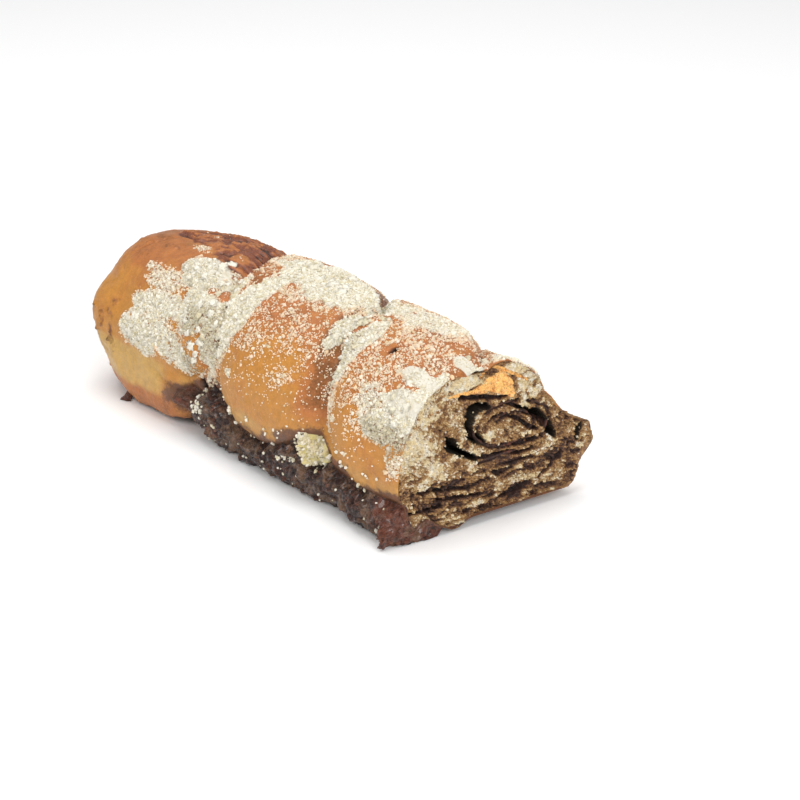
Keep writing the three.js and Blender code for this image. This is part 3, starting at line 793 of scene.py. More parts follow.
# ---- Materials ----
def crust_material(c):
    """Egg-washed crust: gold to brown with painted shade on the flanks, stained and darkly marked in places,
    with fine topping sunk into it and painted shade in pits and shaded zones.
    """
    m = Looks("baked_crust")
    fine, coarse, speck = m.noise(1.0, 4, 0.6), m.noise(8, 4), m.noise(0.5, 2)
    # this mask holds browning and painted shade on the right flanks and low sides
    tone = m.mask("toast_and_shade") + (coarse - 0.5) * 0.7 + (fine - 0.5) * 0.55
    base = m.mix(tone.step(0.0, 0.62), c.gold, c.brown)
    base = m.mix(tone.step(0.6, 1.15), base, c.dark)
    base = m.mix((m.mask("pale") + (coarse - 0.5) * 0.6).step(0.1, 0.9), base, c.honey)
    base = m.scaled(base, m.noise(0.6, 3, 0.7) * 0.55 + m.noise(3, 4, 0.6) * 0.6 + 0.42)
    fold = m.mask("fold") + (m.noise(2.2, 4, 0.65) - 0.5) * 1.3
    wrinkled = m.mix(fold.step(-0.05, 0.35), c.filling, c.syrup)
    wrinkled = m.mix((fold + (m.noise(9, 3) - 0.5) * 1.3).step(0.45, 0.95), wrinkled, c.brown)
    bare = (m.mask("opened") + (fine - 0.5) * 0.5).step(0.2, 0.8)
    base = m.mix(bare * 0.95, base, wrinkled)
    # the dark marks include painted shade in the pits
    mark = (m.mask("dark_marks_and_pit_shade") + m.mask("seam") * 1.05 + (fine - 0.5) * 1.1).step(0.15, 1.15)
    base = m.mix(mark * 0.9, base, m.mix(m.noise(2, 3).step(0.4, 0.65), c.filling, c.syrup))
    stain = (m.mask("stain") + (fine - 0.5) * 0.8 + (coarse - 0.5) * 0.6).step(0.1, 0.8)
    base = m.mix(stain * 0.92, base, m.mix(m.noise(3, 4).step(0.46, 0.8), c.stain, c.syrup))
    crumbly = m.mix(m.noise(1.3, 4, 0.7).step(0.4, 0.62), c.damp, c.crumb)
    base = m.mix((m.mask("torn") + (fine - 0.5) * 0.6).step(0.3, 0.7), base, crumbly)
    lying = m.mask("dust")
    dull = m.mask("dull")
    powder = (lying * 1.3 + (speck - 0.5) * 1.1 + (m.noise(1.7, 4, 0.6) - 0.5) * 1.2).step(0.76, 1.02)
    powder = (powder + m.mask("slab").step(0.3, 0.7)) * lying.step(0.04, 0.3)
    powder = powder.step(0.0, 1.0)
    # painted shade: in the shaded zones the topping takes the shade colour, with damp brown specks in its
    # gaps
    pale = m.mix(m.noise(4, 4).step(0.45, 0.8) * 0.8 + dull * 0.6, c.cream, c.shade)
    holes = 1 - (m.noise(1.3, 3, 0.7) * 0.7 + m.noise(3.2, 3, 0.6) * 0.3).step(0.42, 0.54)
    base = m.mix(powder * 0.97, base, m.mix(holes * (dull * 0.85 + 0.06), pale, c.damp))
    # painted shade: the pits are darkened almost to black
    base = m.scaled(base, 1 - m.mask("shaded_pit").step(0.1, 0.9) * 0.93)
    rough = powder * 0.45 + 0.36 + (fine - 0.5) * 0.3 - bare * 0.1
    relief = m.bump(m.noise(0.7, 4, 0.65) * (powder * 0.9 + 0.35) + m.noise(2.4, 4) * 0.5, 0.6)
    return m.finish({
        "Base Color": base, "Roughness": rough, "Normal": relief, "IOR": 1.45, "Specular IOR Level": 0.35,
    })


def streusel_material(c):
    """Dry pale crumb topping, each grain a little different, with painted shade on grains in the shaded
    zones.
    """
    m = Looks("streusel")
    tone = m.mask("tone")
    base = m.mix(tone.step(0.4, 0.98), c.cream, c.shade)
    base = m.mix(tone.step(1.1, 1.4), base, c.butter)
    base = m.mix(m.mask("warm") * 0.75, base, c.toasted)
    # painted shade: grains in the shaded zones are darkened
    base = m.scaled(base, (m.noise(0.7, 3) * 0.3 + 0.86) * (1 - m.mask("painted_shade")))
    return m.finish({
        "Base Color": base, "Roughness": 0.92, "Specular IOR Level": 0.2,
        "Normal": m.bump(m.noise(0.5, 3, 0.6), 0.22),
    })


def crumb_material(c):
    """The cut crumb: filling, brown, tan and pale crumb by tone, a clean golden part, and gaps and deep
    places darkened as painted shade.
    """
    m = Looks("cut_crumb")
    speck, fine, middle = m.noise(0.55, 3, 0.6), m.noise(1.1, 4, 0.65), m.noise(2.6, 3)
    tone = m.mask("tone") + (speck - 0.5) * 0.55 + (fine - 0.5) * 0.75 + (middle - 0.5) * 0.3
    base = m.mix(tone.step(0.1, 0.34), c.filling, c.damp)
    base = m.mix(tone.step(0.3, 0.6), base, c.crumb)
    base = m.mix(tone.step(0.62, 0.9), base, m.mix(middle.step(0.3, 0.6), c.cream, c.pith))
    golden = (m.mask("golden") + (fine - 0.5) * 0.35).step(0.3, 0.6)
    bready = m.mix(m.noise(1.9, 4, 0.7).step(0.32, 0.54), c.brown, c.dough)
    bready = m.mix(m.noise(1.2, 4, 0.7).step(0.5, 0.72) * 0.7, bready, c.pith)
    base = m.mix(golden, base, m.scaled(bready, fine * 0.9 + speck * 0.5 + m.noise(4, 3) * 0.9 + 0.05))
    # painted shade: deep places and gaps are darkened nearly to black
    base = m.scaled(base, (speck.step(0.2, 0.7) * 0.35 + 0.82) * (1 - m.mask("depth") * 0.96))
    rough = tone.step(0.1, 0.5) * 0.5 + 0.35
    relief = m.bump(m.noise(0.4, 3, 0.65) + m.noise(1.2, 4) * 1.2, 0.45)
    return m.finish({"Base Color": base, "Roughness": rough, "Normal": relief, "Specular IOR Level": 0.35})


def filling_material(c, name, wet=0.28, lumpy=1.0):
    """Moist dark filling: reddish where `red`, milky in blotches, soaked dough where `pale`, wet, and
    darkened between its lumps as painted shade.
    """
    m = Looks(name)
    fine = m.noise(1.5, 4, 0.65)
    thin = fine + (m.noise(6, 3) - 0.5) * 0.7 + m.mask("red") * 0.3
    base = m.mix(thin.step(0.45, 0.75) * 0.8, c.filling, c.syrup)
    milky = (m.noise(3.0, 4, 0.65) + (m.noise(13, 2) - 0.5) * 1.3 - m.mask("red") * 0.1).step(0.44, 0.64)
    base = m.mix(milky * (0.7 * lumpy), base, c.glaze)
    soaked = m.mix(m.noise(3, 4).step(0.4, 0.7), c.stain, c.syrup)
    base = m.mix((m.mask("pale") + (fine - 0.5) * 0.4).step(0.1, 0.9), base, soaked)
    pebbles = m.cells(3.4) + (fine - 0.5) * 0.5
    # painted shade between the lumps
    base = m.scaled(base, (m.noise(0.7, 3, 0.7) * 1.2 + 0.6) * (1 - pebbles.step(0.5, 0.9) * (0.5 * lumpy)))
    relief = m.bump(m.noise(0.8, 4, 0.65) * 1.3 + m.noise(2.6, 3) * 1.2 + (1 - pebbles) * (1.6 * lumpy), 1.3)
    return m.finish({
        "Base Color": base, "Roughness": m.noise(2.0, 3) * 0.5 + wet, "Normal": relief,
        "Specular IOR Level": 0.5,
        "Coat Weight": m.noise(2.3, 3).step(0.45, 0.62) * (0.7 * lumpy), "Coat Roughness": 0.08,
    })


def floor_material():
    """A plain pale floor."""
    m = Looks("floor")
    return m.finish({"Base Color": (0.95, 0.95, 0.95), "Roughness": 0.6, "Specular IOR Level": 0.2})


# ---- Crust ----
WALL_BACKS = (3.0, 8.0, 15.0, 24.0)  # how far behind the cut the rings stand that close crust and crumb
WALL_INSET = 0.03  # how far inside the crust they stand, as a share of its radius
END_RINGS = 50
BODY_RINGS = 252
RING_BANDS = [(LOWEST_ANGLE, 22), (-50, 262), (187, 18), (LOWEST_ANGLE + 360, 0)]  # angle, steps to the next


def walled(angle, back):
    """A ring just inside the crust, `back` behind the cut."""
    ring = surface(np.full(angle.shape, CUT_X - back), angle)
    return ring + ([CUT_X - back, AXIS_Y, AXIS_Z] - ring) * WALL_INSET


def crust_arrays():
    """The crust as rings from the rounded end's tip to the cut, turned in and closed behind the crumb."""
    turn = np.linspace(0, math.pi / 2, END_RINGS, endpoint=False)[1:]
    ends = END_X + END_LENGTH * (1 - np.cos(turn))
    body = np.linspace(END_X + END_LENGTH, CUT_X, BODY_RINGS)
    x = np.concatenate([ends, body])
    angle = banded(RING_BANDS)[:-1]
    grid_x, grid_a = np.meshgrid(x, angle, indexing="ij")
    masks = crust_masks(grid_x, grid_a)
    relief = crust_relief(grid_x, grid_a, masks)
    relief = relief * smooth((grid_a + 60) / 15) * smooth((grid_x - END_X) / 9)
    points = surface(grid_x, grid_a, relief)
    rim = points[-1]
    inner = [rim + ([CUT_X, AXIS_Y, AXIS_Z] - rim) * 0.012 - [0.25, 0, 0]]
    inner += [walled(angle, back) for back in WALL_BACKS]
    rings = np.concatenate([points, np.stack(inner)])
    rows, columns = rings.shape[:2]
    closing = [[END_X, AXIS_Y, TIP_Z], [CUT_X - WALL_BACKS[-1], AXIS_Y, AXIS_Z]]
    everything = np.concatenate([rings.reshape(-1, 3), closing])
    pale = smooth((8 - grid_a) / 8) * smooth((-60 - grid_x) / 14) * smooth((grid_a + 18) / 8)
    pale = pale + 0.4 * smooth((8 - grid_a) / 10) * smooth((grid_x + 60) / 10)
    masks["pale"] = np.clip(pale + 0.2 * crags(grid_x / 14, grid_a / 12, 33), 0, 1) * off_tip(grid_x)
    spread = {
        key: np.concatenate([values.ravel(), np.tile(values[-1], len(inner)), [values[0, 0], 0.0]])
        for key, values in masks.items()
    }
    return everything, tube_faces(rows, columns), spread


class BABKA_OT_crust(bpy.types.Operator):
    """Builds the browned crust with its folds, seams and dusting"""

    bl_idname = "babka.crust"
    bl_label = "Crust"

    def execute(self, context):
        points, faces, masks = crust_arrays()
        new_piece("baked_crust", points, faces, crust_material(chosen()[0]), ["dough"], masks)
        return {"FINISHED"}


# ---- The cut ----
def spiral(s, steps=22):
    """Points of a flattened spiral in the plane of the cut, as y and z, from its middle outwards."""
    turn = np.linspace(0.0, s["turns"], int(s["turns"] * steps))
    angle = np.radians(s["from"] - 360 * turn)
    c, d = np.cos(angle), np.sin(angle)
    u = (s["a"] + s["a_turn"] * turn) * np.sign(c) * np.abs(c) ** (2 / s["power"])
    v = (s["b"] + s["b_turn"] * turn) * np.sign(d) * np.abs(d) ** (2 / s["power"])
    tilt = math.radians(s["tilt"])
    waver = FILLING_WAVER[0] * lumps(turn * FILLING_WAVER[1], 0.5, s["a"])
    y = s["y"] + u * math.cos(tilt) - v * math.sin(tilt)
    return np.stack([y, s["z"] + u * math.sin(tilt) + v * math.cos(tilt) + waver], axis=-1)


def distance(y, z, line):
    """Distance from places in the plane of the cut to a line, less its half width where it has one.

    A line is an array of y and z, or of y, z and half width, which changes evenly from point to point.
    """
    line = np.asarray(line, float)
    if line.shape[1] == 2:
        line = np.column_stack([line, np.zeros(len(line))])
    best = np.full(y.shape, 1e9)
    for (y0, z0, w0), (y1, z1, w1) in zip(line[:-1], line[1:]):
        dy, dz = y1 - y0, z1 - z0
        t = np.clip(((y - y0) * dy + (z - z0) * dz) / max(dy * dy + dz * dz, 1e-9), 0, 1)
        best = np.minimum(best, np.hypot(y - y0 - t * dy, z - z0 - t * dz) - w0 - (w1 - w0) * t)
    return best


# Lines on the cut as y, z and half width in mm.
GAPS = (
    ((-3.5, 50.6, 0.5), (-7, 51.8, 1.7), (-11.5, 51.8, 2.3), (-14.2, 48, 1.8), (-14.4, 43.8, 1.5),
     (-12.8, 40.6, 1.6), (-9.8, 38.2, 1.9), (-6.5, 36.2, 0.7)),
    ((13, 46.6, 0.4), (18.5, 44.4, 1.3), (23, 41.6, 1.8), (26.4, 38, 1.7), (29.4, 33.6, 1.3),
     (32.3, 29.3, 0.7)),
    ((-25, 41.4, 1.3), (-23.4, 38.8, 2.7), (-20.6, 35.8, 1.6), (-16, 32.6, 0.9), (-9.7, 29.3, 0.4)),
    ((46.2, 33.2, 0.7), (46, 29, 1.2), (45.4, 25.4, 0.6)),
)
DARK_LINES = (
    ((-18.5, 58.6, 0.7), (-12, 57.4, 0.9), (-5, 55.8, 0.8), (2, 54.2, 0.6), (7, 53.6, 0.3)),
    ((1, 51.2, 0.2), (7, 50.3, 0.5), (13, 47, 0.6)),
    ((-3.5, 44.6, 0.3), (-1.4, 45.9, 0.7), (2, 46.8, 0.7), (5, 46.2, 0.6), (13.2, 41.7, 0.6),
     (18.8, 36.6, 0.7), (23, 34.8, 0.4)),
    ((11.3, 30.3, 0.5), (16, 30, 0.7), (21, 30.8, 0.8), (26.1, 31.1, 0.5)),
    ((-12, 30, 0.4), (-6, 28.8, 0.6), (2, 28.6, 0.9), (8, 28, 0.8), (14.1, 26.3, 0.5), (22, 26.5, 0.4)),
    ((-41, 21.8, 0.4), (-39.2, 21.2, 0.8), (-33, 21, 0.8), (-28.2, 20, 0.9), (-20, 18.2, 0.7),
     (-13.3, 17, 0.5)),
    ((-1, 21.2, 0.5), (2.3, 19.3, 1.3), (6, 19.8, 0.9), (11, 21.6, 0.6)),
    ((3, 9.6, 0.5), (9.5, 9, 1.7), (15, 10.6, 1.2), (20, 11.8, 0.4)),
    ((24, 12.4, 0.4), (30, 15.6, 1.1), (36, 20, 1.2)),
    ((43, 36.5, 0.4), (44.6, 34, 0.9)),
    ((-48, 13.5, 0.4), (-38, 12.6, 0.6), (-28, 12.2, 0.3)),
    ((-30, 15.8, 0.3), (-20, 14.6, 0.6), (-8, 13, 0.4)),
)
FLAP = (
    (-8.6, 65.4, 0.3), (-5, 68.4, 0.7), (-1.8, 69.2, 1.0), (3, 66.8, 1.1), (9, 63.6, 0.9), (16.7, 59, 0.5),
)
GOLDEN = (
    ((-25, 60.6, 0.3), (-12, 60.2, 1.1), (-5, 60.6, 2.6)),
    ((-4, 61.6, 3.4), (1.5, 61.4, 4.7), (5.5, 58.6, 3.6), (8.4, 54.4, 1.6)),
)
# Blotches on the cut: middle y and z, half sizes, and how much lighter or darker.
BLOTCHES = (
    (-40, 38, 11, 13, 0.3), (-47, 20, 5, 4, 0.35), (-38.7, 24, 6, 3.6, 0.45), (-31.4, 30, 5, 3, 0.6),
    (-22, 33.2, 4, 2, 0.6), (-11, 25.4, 2.6, 2.4, 0.4), (-6.9, 16.2, 1.9, 3.2, 0.35), (-26, 45, 6, 8, 0.0),
    (-17, 65, 9, 3.6, 1.0), (-4, 70.5, 5, 2, 0.7), (12, 65.5, 10, 3.2, 0.9), (20.6, 52.8, 3.2, 3, 0.8),
    (15, 49.6, 2.6, 2.4, 0.7), (16, 58.5, 7, 4.5, 0.5), (30, 44, 5, 7, -0.1), (37, 35, 5, 7, -0.12),
    (41, 41, 4, 5, 0.1), (-18, 46, 3, 8, 0.12), (-13.6, 38, 4, 2.6, -0.15), (-11, 32.6, 8, 1.8, 0.4),
    (-3.2, 38.4, 3, 2.8, 0.85), (25.1, 36.9, 1.8, 1.6, -0.2), (30.3, 28.6, 2.4, 1.8, 0.3),
    (9, 40, 9, 5, -0.08), (46.5, 21.8, 2.4, 1.2, 0.55),
    (33.6, 20.5, 6, 4, -0.4), (42, 22, 4, 6, -0.25), (-25, 13, 14, 3.8, -0.12), (-34, 9.6, 8, 1.5, 0.2),
    # the dark blotch at y -36.5, z 4.8 is painted shadow under the arch at the cut's foot
    (-36.5, 4.8, 8, 3, -0.7), (1.9, 13.5, 3, 4, 0.25), (16.7, 7.1, 2.2, 1.6, 0.4), (23.6, 23, 3.6, 1.6, 0.45),
    (13.4, 19.6, 2, 1.6, 0.45), (-12, 21, 9, 2, 0.15), (-6, 52, 4, 2, -0.3), (28, 9, 8, 3, -0.1),
)


CUT_STEPS = 276  # along each side of the cut's grid
LAYERS_HEIGHT = 30.5  # under it the crumb lies in flat layers
PEBBLE = (3.4, 2.8)  # width and height
FLAT_PEBBLE = (7.5, 2.3)
SMALL_PEBBLE = (1.35, 1.2)
GAP_DEPTHS = (4, 15)  # beyond GAP_SIDE, in the curl of crust, and before it
GAP_SIDE = 40


def cut_gaps(y, z, wider=0.5):
    """The gaps in the crumb, from 0 to 1: a soft step at their half width and a little more."""
    waver = 0.5 * crags(y / 2.4, z / 2.4, 101)
    return np.maximum.reduce([smooth((wider - distance(y, z, gap) + waver) / 0.8) for gap in GAPS])


def crumb_arrays():
    """The cut crumb: a square grid bent to a disc and stretched to the cut's outline, closed behind."""
    side = CUT_STEPS + 1
    u, v = np.meshgrid(np.linspace(-1, 1, side), np.linspace(-1, 1, side), indexing="ij")
    wide = np.abs(u) > np.abs(v)
    safe_u, safe_v = np.where(u == 0, 1e-9, u), np.where(v == 0, 1e-9, v)
    r = np.where(wide, u, v)
    turn = np.where(wide, math.pi / 4 * v / safe_u, math.pi / 2 - math.pi / 4 * u / safe_v)
    angle = np.degrees(np.arctan2(r * np.sin(turn), -r * np.cos(turn)))
    angle = wrapped(180 - angle)
    rim = surface(np.full(angle.shape, CUT_X), angle, -0.25)
    share = np.abs(r)
    y = AXIS_Y + (rim[..., 1] - AXIS_Y) * share
    z = AXIS_Z + (rim[..., 2] - AXIS_Z) * share
    masks, depth = crumb_look(y, z, share)
    front = np.stack([CUT_X - depth, y, z], axis=-1).reshape(-1, 3)
    ring = grid_edge(np.arange(side * side).reshape(side, side))
    walls = len(WALL_BACKS)
    backs = np.concatenate([walled(angle.ravel()[ring], back - 1) for back in WALL_BACKS])
    points = np.concatenate([front, backs, [[CUT_X - WALL_BACKS[-1] + 1, AXIS_Y, AXIS_Z]]])
    strip = np.concatenate([ring, len(front) + np.arange(len(backs))])
    faces = [
        grid_faces(side, side, turned=True),
        strip[grid_faces(1 + walls, len(ring), wrap_columns=True, turned=True)],
        fan_faces(strip[-len(ring):], len(points) - 1),
    ]
    spread = {
        key: np.concatenate([values.ravel(), np.tile(values.ravel()[ring], walls), [0.0]])
        for key, values in masks.items()
    }
    return points, faces, spread


def crumb_look(y, z, share):
    """Masks of the cut's material, and how deep below the plane of the cut each place lies.

    The crumb is torn into pebbles of two sizes with cracks between them, flat ones in the lower layers.
    """
    ragged, fine = crags(y / 3.4, z / 3.4, 105), crags(y / 1.3, z / 1.3, 108, 2)
    low = smooth((LAYERS_HEIGHT - z + 2 * lumps(y / 9, 0.5, 102)) / 3)
    warp = 2.2 * lumps(y / 15, z / 9, 103) + 0.05 * y
    layers = crags(y / 11, (z + warp) / 2.2, 109)
    bent = 1.2 * ragged
    border, pebble = clumps((y + bent) / PEBBLE[0], (z - bent) / PEBBLE[1], 112)
    flat_border, flat_pebble = clumps((y + bent) / FLAT_PEBBLE[0], (z + warp) / FLAT_PEBBLE[1], 113)
    small_border, small_pebble = clumps((y + 0.4 * fine) / SMALL_PEBBLE[0], z / SMALL_PEBBLE[1], 114)
    own = pebble + (flat_pebble - pebble) * low
    crack = smooth((0.2 - border - (flat_border - border) * low) / 0.2)
    crack = crack * smooth(0.35 + 0.9 * crags(y / 7, z / 6, 115))
    chink = smooth((0.22 - small_border) / 0.22)
    # painted shade: the cracks and chinks between the pebbles lower the tone, darkening them
    tone = 0.56 + 0.36 * (own - 0.5) + 0.26 * (small_pebble - 0.5) - 0.26 * crack - 0.12 * chink
    tone = tone + 0.08 * ragged + 0.08 * fine + low * (0.3 * layers - 0.04)
    for mid_y, mid_z, half_y, half_z, amount in BLOTCHES:
        off = np.hypot((y - mid_y) / half_y, (z - mid_z) / half_z) - 0.22 * ragged
        tone = tone + amount * smooth(1.5 * (1.12 - off))
    by_line = [smooth((0.65 - distance(y, z, line) + 0.3 * ragged) / 0.8) for line in DARK_LINES]
    lines = np.maximum.reduce(by_line)
    flap = smooth((0.4 - distance(y, z, FLAP) + 0.3 * ragged) / 0.7)
    by_part = [smooth((0.5 - distance(y, z, part) + 0.35 * ragged) / 0.8) for part in GOLDEN]
    golden = np.maximum.reduce(by_part)
    golden = golden * (1 - lines)
    tone = tone + 0.25 * golden
    roll = bump(distance(y, z, spiral(ROLL)) / 1.5) * smooth(0.75 + 0.8 * crags(y / 4, z / 4, 110))
    strata = bump(distance(y, z, spiral(LAYERS)) / 1.5) * smooth(0.5 + 0.9 * crags(y / 5, z / 4, 111))
    gap = cut_gaps(y, z)
    angle = np.degrees(np.arctan2(z - AXIS_Z, AXIS_Y - y))
    spilt = smooth((share - 0.76 + 0.07 * ragged) / 0.1) * bump((angle - 38) / 48)
    tone = tone + 0.45 * spilt
    tone = tone - 0.85 * np.maximum.reduce([lines, 0.9 * roll, 0.85 * strata, 0.4 * flap]) * (1 - golden)
    hollow = (1 - golden) * (0.95 - tone) * 1.5 + 0.5 * crags(y / 1.1, z / 1.1, 106, 3) * (1 - 0.6 * golden)
    hollow = hollow + (1 - 0.45 * golden) * (0.9 * crack + 0.35 * chink)
    depth = 0.7 + hollow + 1.4 * lines + 1.5 * roll + 1.4 * strata + 0.6 * crags(y / 6, z / 5, 107)
    depth = np.maximum(depth, 0.05) * smooth((1 - share) / 0.02 + 0.1)
    depth = depth + np.where(y > GAP_SIDE, *GAP_DEPTHS) * gap
    masks = {
        "golden": np.clip(golden + 0.6 * flap, 0, 1),
        "tone": np.clip(tone, 0, 1),
        # painted shade: deep places and the gaps
        "depth": np.maximum(smooth((depth - 2.6) / 3), cut_gaps(y, z, 1.2)),
    }
    return masks, depth


def cut_inside(y, z):
    """Each place's distance from the axis as a share of the crust's at the cut."""
    angle = np.degrees(np.arctan2(z - AXIS_Z, AXIS_Y - y))
    rim = surface(np.full(y.shape, CUT_X), wrapped(angle))
    return np.hypot(y - AXIS_Y, z - AXIS_Z) / np.hypot(rim[..., 1] - AXIS_Y, rim[..., 2] - AXIS_Z)


def loose_arrays(count):
    """Loose crumbs on the cut, as dented octahedra at places drawn evenly over it, none in the gaps."""
    rng = np.random.default_rng(7)
    y, z = rng.uniform((-52, 5), (52, 72), (count * 3, 2)).T
    share = cut_inside(y, z)
    masks, depth = crumb_look(y, z, share)
    chance = (0.2 + 0.8 * smooth((masks["tone"] - 0.4) / 0.3)) * (1 - smooth(3 * masks["golden"]))
    kept = np.flatnonzero((share < 0.97) & (depth < 5) & (rng.uniform(size=len(y)) < chance))[:count]
    y, z, tone, depth = y[kept], z[kept], masks["tone"][kept], depth[kept]
    sizes = 0.36 * np.exp(rng.normal(0, 0.5, len(y))).clip(0.45, 2.6)
    places = np.stack([CUT_X - depth + sizes * 0.3, y, z], axis=-1)
    shape = octahedron()
    points, faces = scattered(places, sizes, shape, rng)
    tone = np.clip(tone + rng.uniform(-0.25, 0.35, len(y)), 0, 1)
    none = np.zeros(len(points))
    return points, faces, {"tone": np.repeat(tone, len(shape[0])), "golden": none, "depth": none}


class BABKA_OT_crumb(bpy.types.Operator):
    """Builds the cut face's crumb with its layers, gaps and pores"""

    bl_idname = "babka.crumb"
    bl_label = "Cut crumb"

    def execute(self, context):
        points, faces, masks = crumb_arrays()
        look = crumb_material(chosen()[0])
        new_piece("cut_crumb", points, faces, look, ["dough"], masks)
        points, faces, masks = loose_arrays(chosen()[1].loose)
        new_piece("loose_crumbs", points, faces, look, (), masks, flat=True)
        return {"FINISHED"}


SHEET_HALF = 0.65  # half the thickness of a sheet of filling


def ribbon_arrays(s, half, seed):
    """A sheet of filling: a closed loop round its thickness and length, carried along the spiral.

    The loop runs from the back along one side to a ragged rounded front edge and returns on the other side.
    """
    line = spiral(s, steps=150)
    rows = len(line)
    front = np.concatenate([[-60.0, -20.0], np.linspace(-8, -0.6, 14)])
    edge = np.linspace(-90, 90, 7)[1:-1]
    along = np.concatenate([front, -0.6 + 0.6 * np.cos(np.radians(edge)), front[::-1]])
    across = np.concatenate([np.full(len(front), -1.0), np.sin(np.radians(edge)), np.full(len(front), 1.0)])
    at = np.arange(rows)[:, None] / 6.0
    ragged = -3.2 - 0.9 * crags(at * 0.8, 0.3, seed)
    near = smooth((along[None, :] + 8) / 8)
    x = CUT_X + along[None, :] + ragged * near
    thick = half * (1 + 0.5 * crags(at * 0.6 + seed, x / 3.0, seed + 1))
    thick = thick * smooth(np.minimum(at, at[::-1]) / 1.2 + 0.2)
    off = across[None, :] * thick + 0.35 * crags(at * 0.7, x / 4.0, seed + 2)
    way = np.gradient(line, axis=0)
    way = way / np.linalg.norm(way, axis=1, keepdims=True)
    y = line[:, 0:1] - way[:, 1:2] * off
    z = line[:, 1:2] + way[:, 0:1] * off
    points = np.stack([x, y, z], axis=-1)
    columns = points.shape[1]
    ends = [points[0].mean(axis=0), points[-1].mean(axis=0)]
    everything = np.concatenate([points.reshape(-1, 3), ends])
    none = np.zeros(len(everything))
    return everything, tube_faces(rows, columns), {"pale": none, "red": none}


class BABKA_OT_filling(bpy.types.Operator):
    """Builds the two rolled sheets of filling"""

    bl_idname = "babka.filling"
    bl_label = "Filling"

    def execute(self, context):
        look = filling_material(chosen()[0], "filling", 0.3, 0.2)
        for node, roll, seed in (("filling_roll", ROLL, 110), ("filling_layers", LAYERS, 120)):
            points, faces, masks = ribbon_arrays(roll, SHEET_HALF, seed)
            new_piece(node + "_sheet", points, faces, look, [node], masks)
        return {"FINISHED"}


# ---- The sticky foot ----
def sticky_top(x):
    """The band's upper edge in degrees: ragged, and lower at its left end, where only a stain shows."""
    top = np.minimum(np.interp(x, BAND_X, BAND_TOP), stain_top(x))
    return top + 2.2 * crags(x / 4.0, 0.7, 131) * smooth((x + 50) / 10)


def sticky_out(x, angle):
    """How far the sticky filling stands out: a band of rough rounded lumps, thin round the loose lump."""
    top = sticky_top(x)
    under = angle < -46
    lively = smooth((x + 54) / 14)
    relief = 1.6 * crags(x / 4.3, angle / 5.1, 5, 4) + lively * 0.8 * crags(x / 9, angle / 7, 134)
    blobs = 1.5 * np.abs(lumps(x / 3.6, angle / 4.4, 133))
    blobs = blobs + 0.8 * np.abs(lumps(x / 1.6, angle / 1.9, 132)) - 0.9
    full = np.where(under, 1.0, smooth(1.5 * band_share(x, angle) - 0.3))
    edge = smooth((top - angle) / 4) * smooth((angle + 141) / 6)
    near_lump = np.hypot((x - LOOSE_LUMP[0]) / 11, (angle + 2) / 11.5) + 0.12 * crags(x / 3, angle / 3, 135)
    edge = edge * np.where(under, 1.0, smooth((near_lump - 0.8) / 0.3))
    foot = bump((x - 105) / 10) * smooth((-4 - angle) / 8) * (4.6 + 3.4 * crags(x / 2.6, angle / 3.4, 139, 4))
    round_end = np.sqrt(np.clip(1 - (np.maximum(0, x - SHELL_ROUND[0]) / SHELL_ROUND[1]) ** 2, 0.0004, 1))
    rough = smooth((angle + 50) / 8)
    thick = 0.55 + full * (6.6 + rough * (relief + lively * blobs) + foot)
    thick = thick * edge * smooth((x - SHELL_START) / 4) * round_end
    shown = np.where(under, 1.0, smooth((x - stain_start(angle) - 7) / 10))
    return (1.6 + thick) * shown - 1.25


def sticky_arrays():
    """The sticky base: a closed shell on the crust, its thickness worked out over x and angle as crags."""
    turn = np.linspace(0, math.pi / 2, 18)
    start, curved = SHELL_ROUND
    along = [np.linspace(SHELL_START, start, 290, endpoint=False), start + curved * np.sin(turn)]
    x = np.concatenate(along)[:, None]
    v = np.concatenate([np.linspace(0, 1, 14, endpoint=False), 1 + np.linspace(0, 1, 84)])[None, :]
    slab = SHELL_BOTTOM + (SLAB_EDGE - SHELL_BOTTOM) * np.clip(v, 0, 1)
    angle = slab + (sticky_top(x) - SLAB_EDGE) * np.clip(v - 1, 0, 1)
    x = np.broadcast_to(x, angle.shape)
    out = sticky_out(x, angle)
    outer = surface(x, angle, out, 9.0)
    outer[..., 2] = np.maximum(outer[..., 2], 0.0)
    inner = surface(x, angle, -1.2, -0.2)
    arch = (x > 86) & (angle < -43)
    outer = np.where(arch[..., None], inner + [0, 0, -0.3], outer)
    worn = 1.5 * smooth((x - 100.5) / 3) * np.clip(0.5 + 0.8 * crags(angle / 3.0, out / 2.0, 137, 4), 0, 1.4)
    outer[..., 0] -= worn
    points = np.concatenate([outer.reshape(-1, 3), inner.reshape(-1, 3)])
    pale = smooth((-36 - x) / 20)
    red = smooth((x - 82) / 16) + 0.35 * smooth((-8 - angle) / 14) * crags(x / 9, angle / 8, 138)
    red = np.clip(red, 0, 1)
    masks = {"pale": np.tile(pale.ravel(), 2), "red": np.tile(red.ravel(), 2)}
    return points, shell_faces(*angle.shape), masks


DRIP_FOOT = (-103.4, -54.0)  # x and y where the drip meets the ground
DRIP_LEAN = (1.6, 3.2)  # how far its top leans from there
DRIP_HEIGHT = 7.5


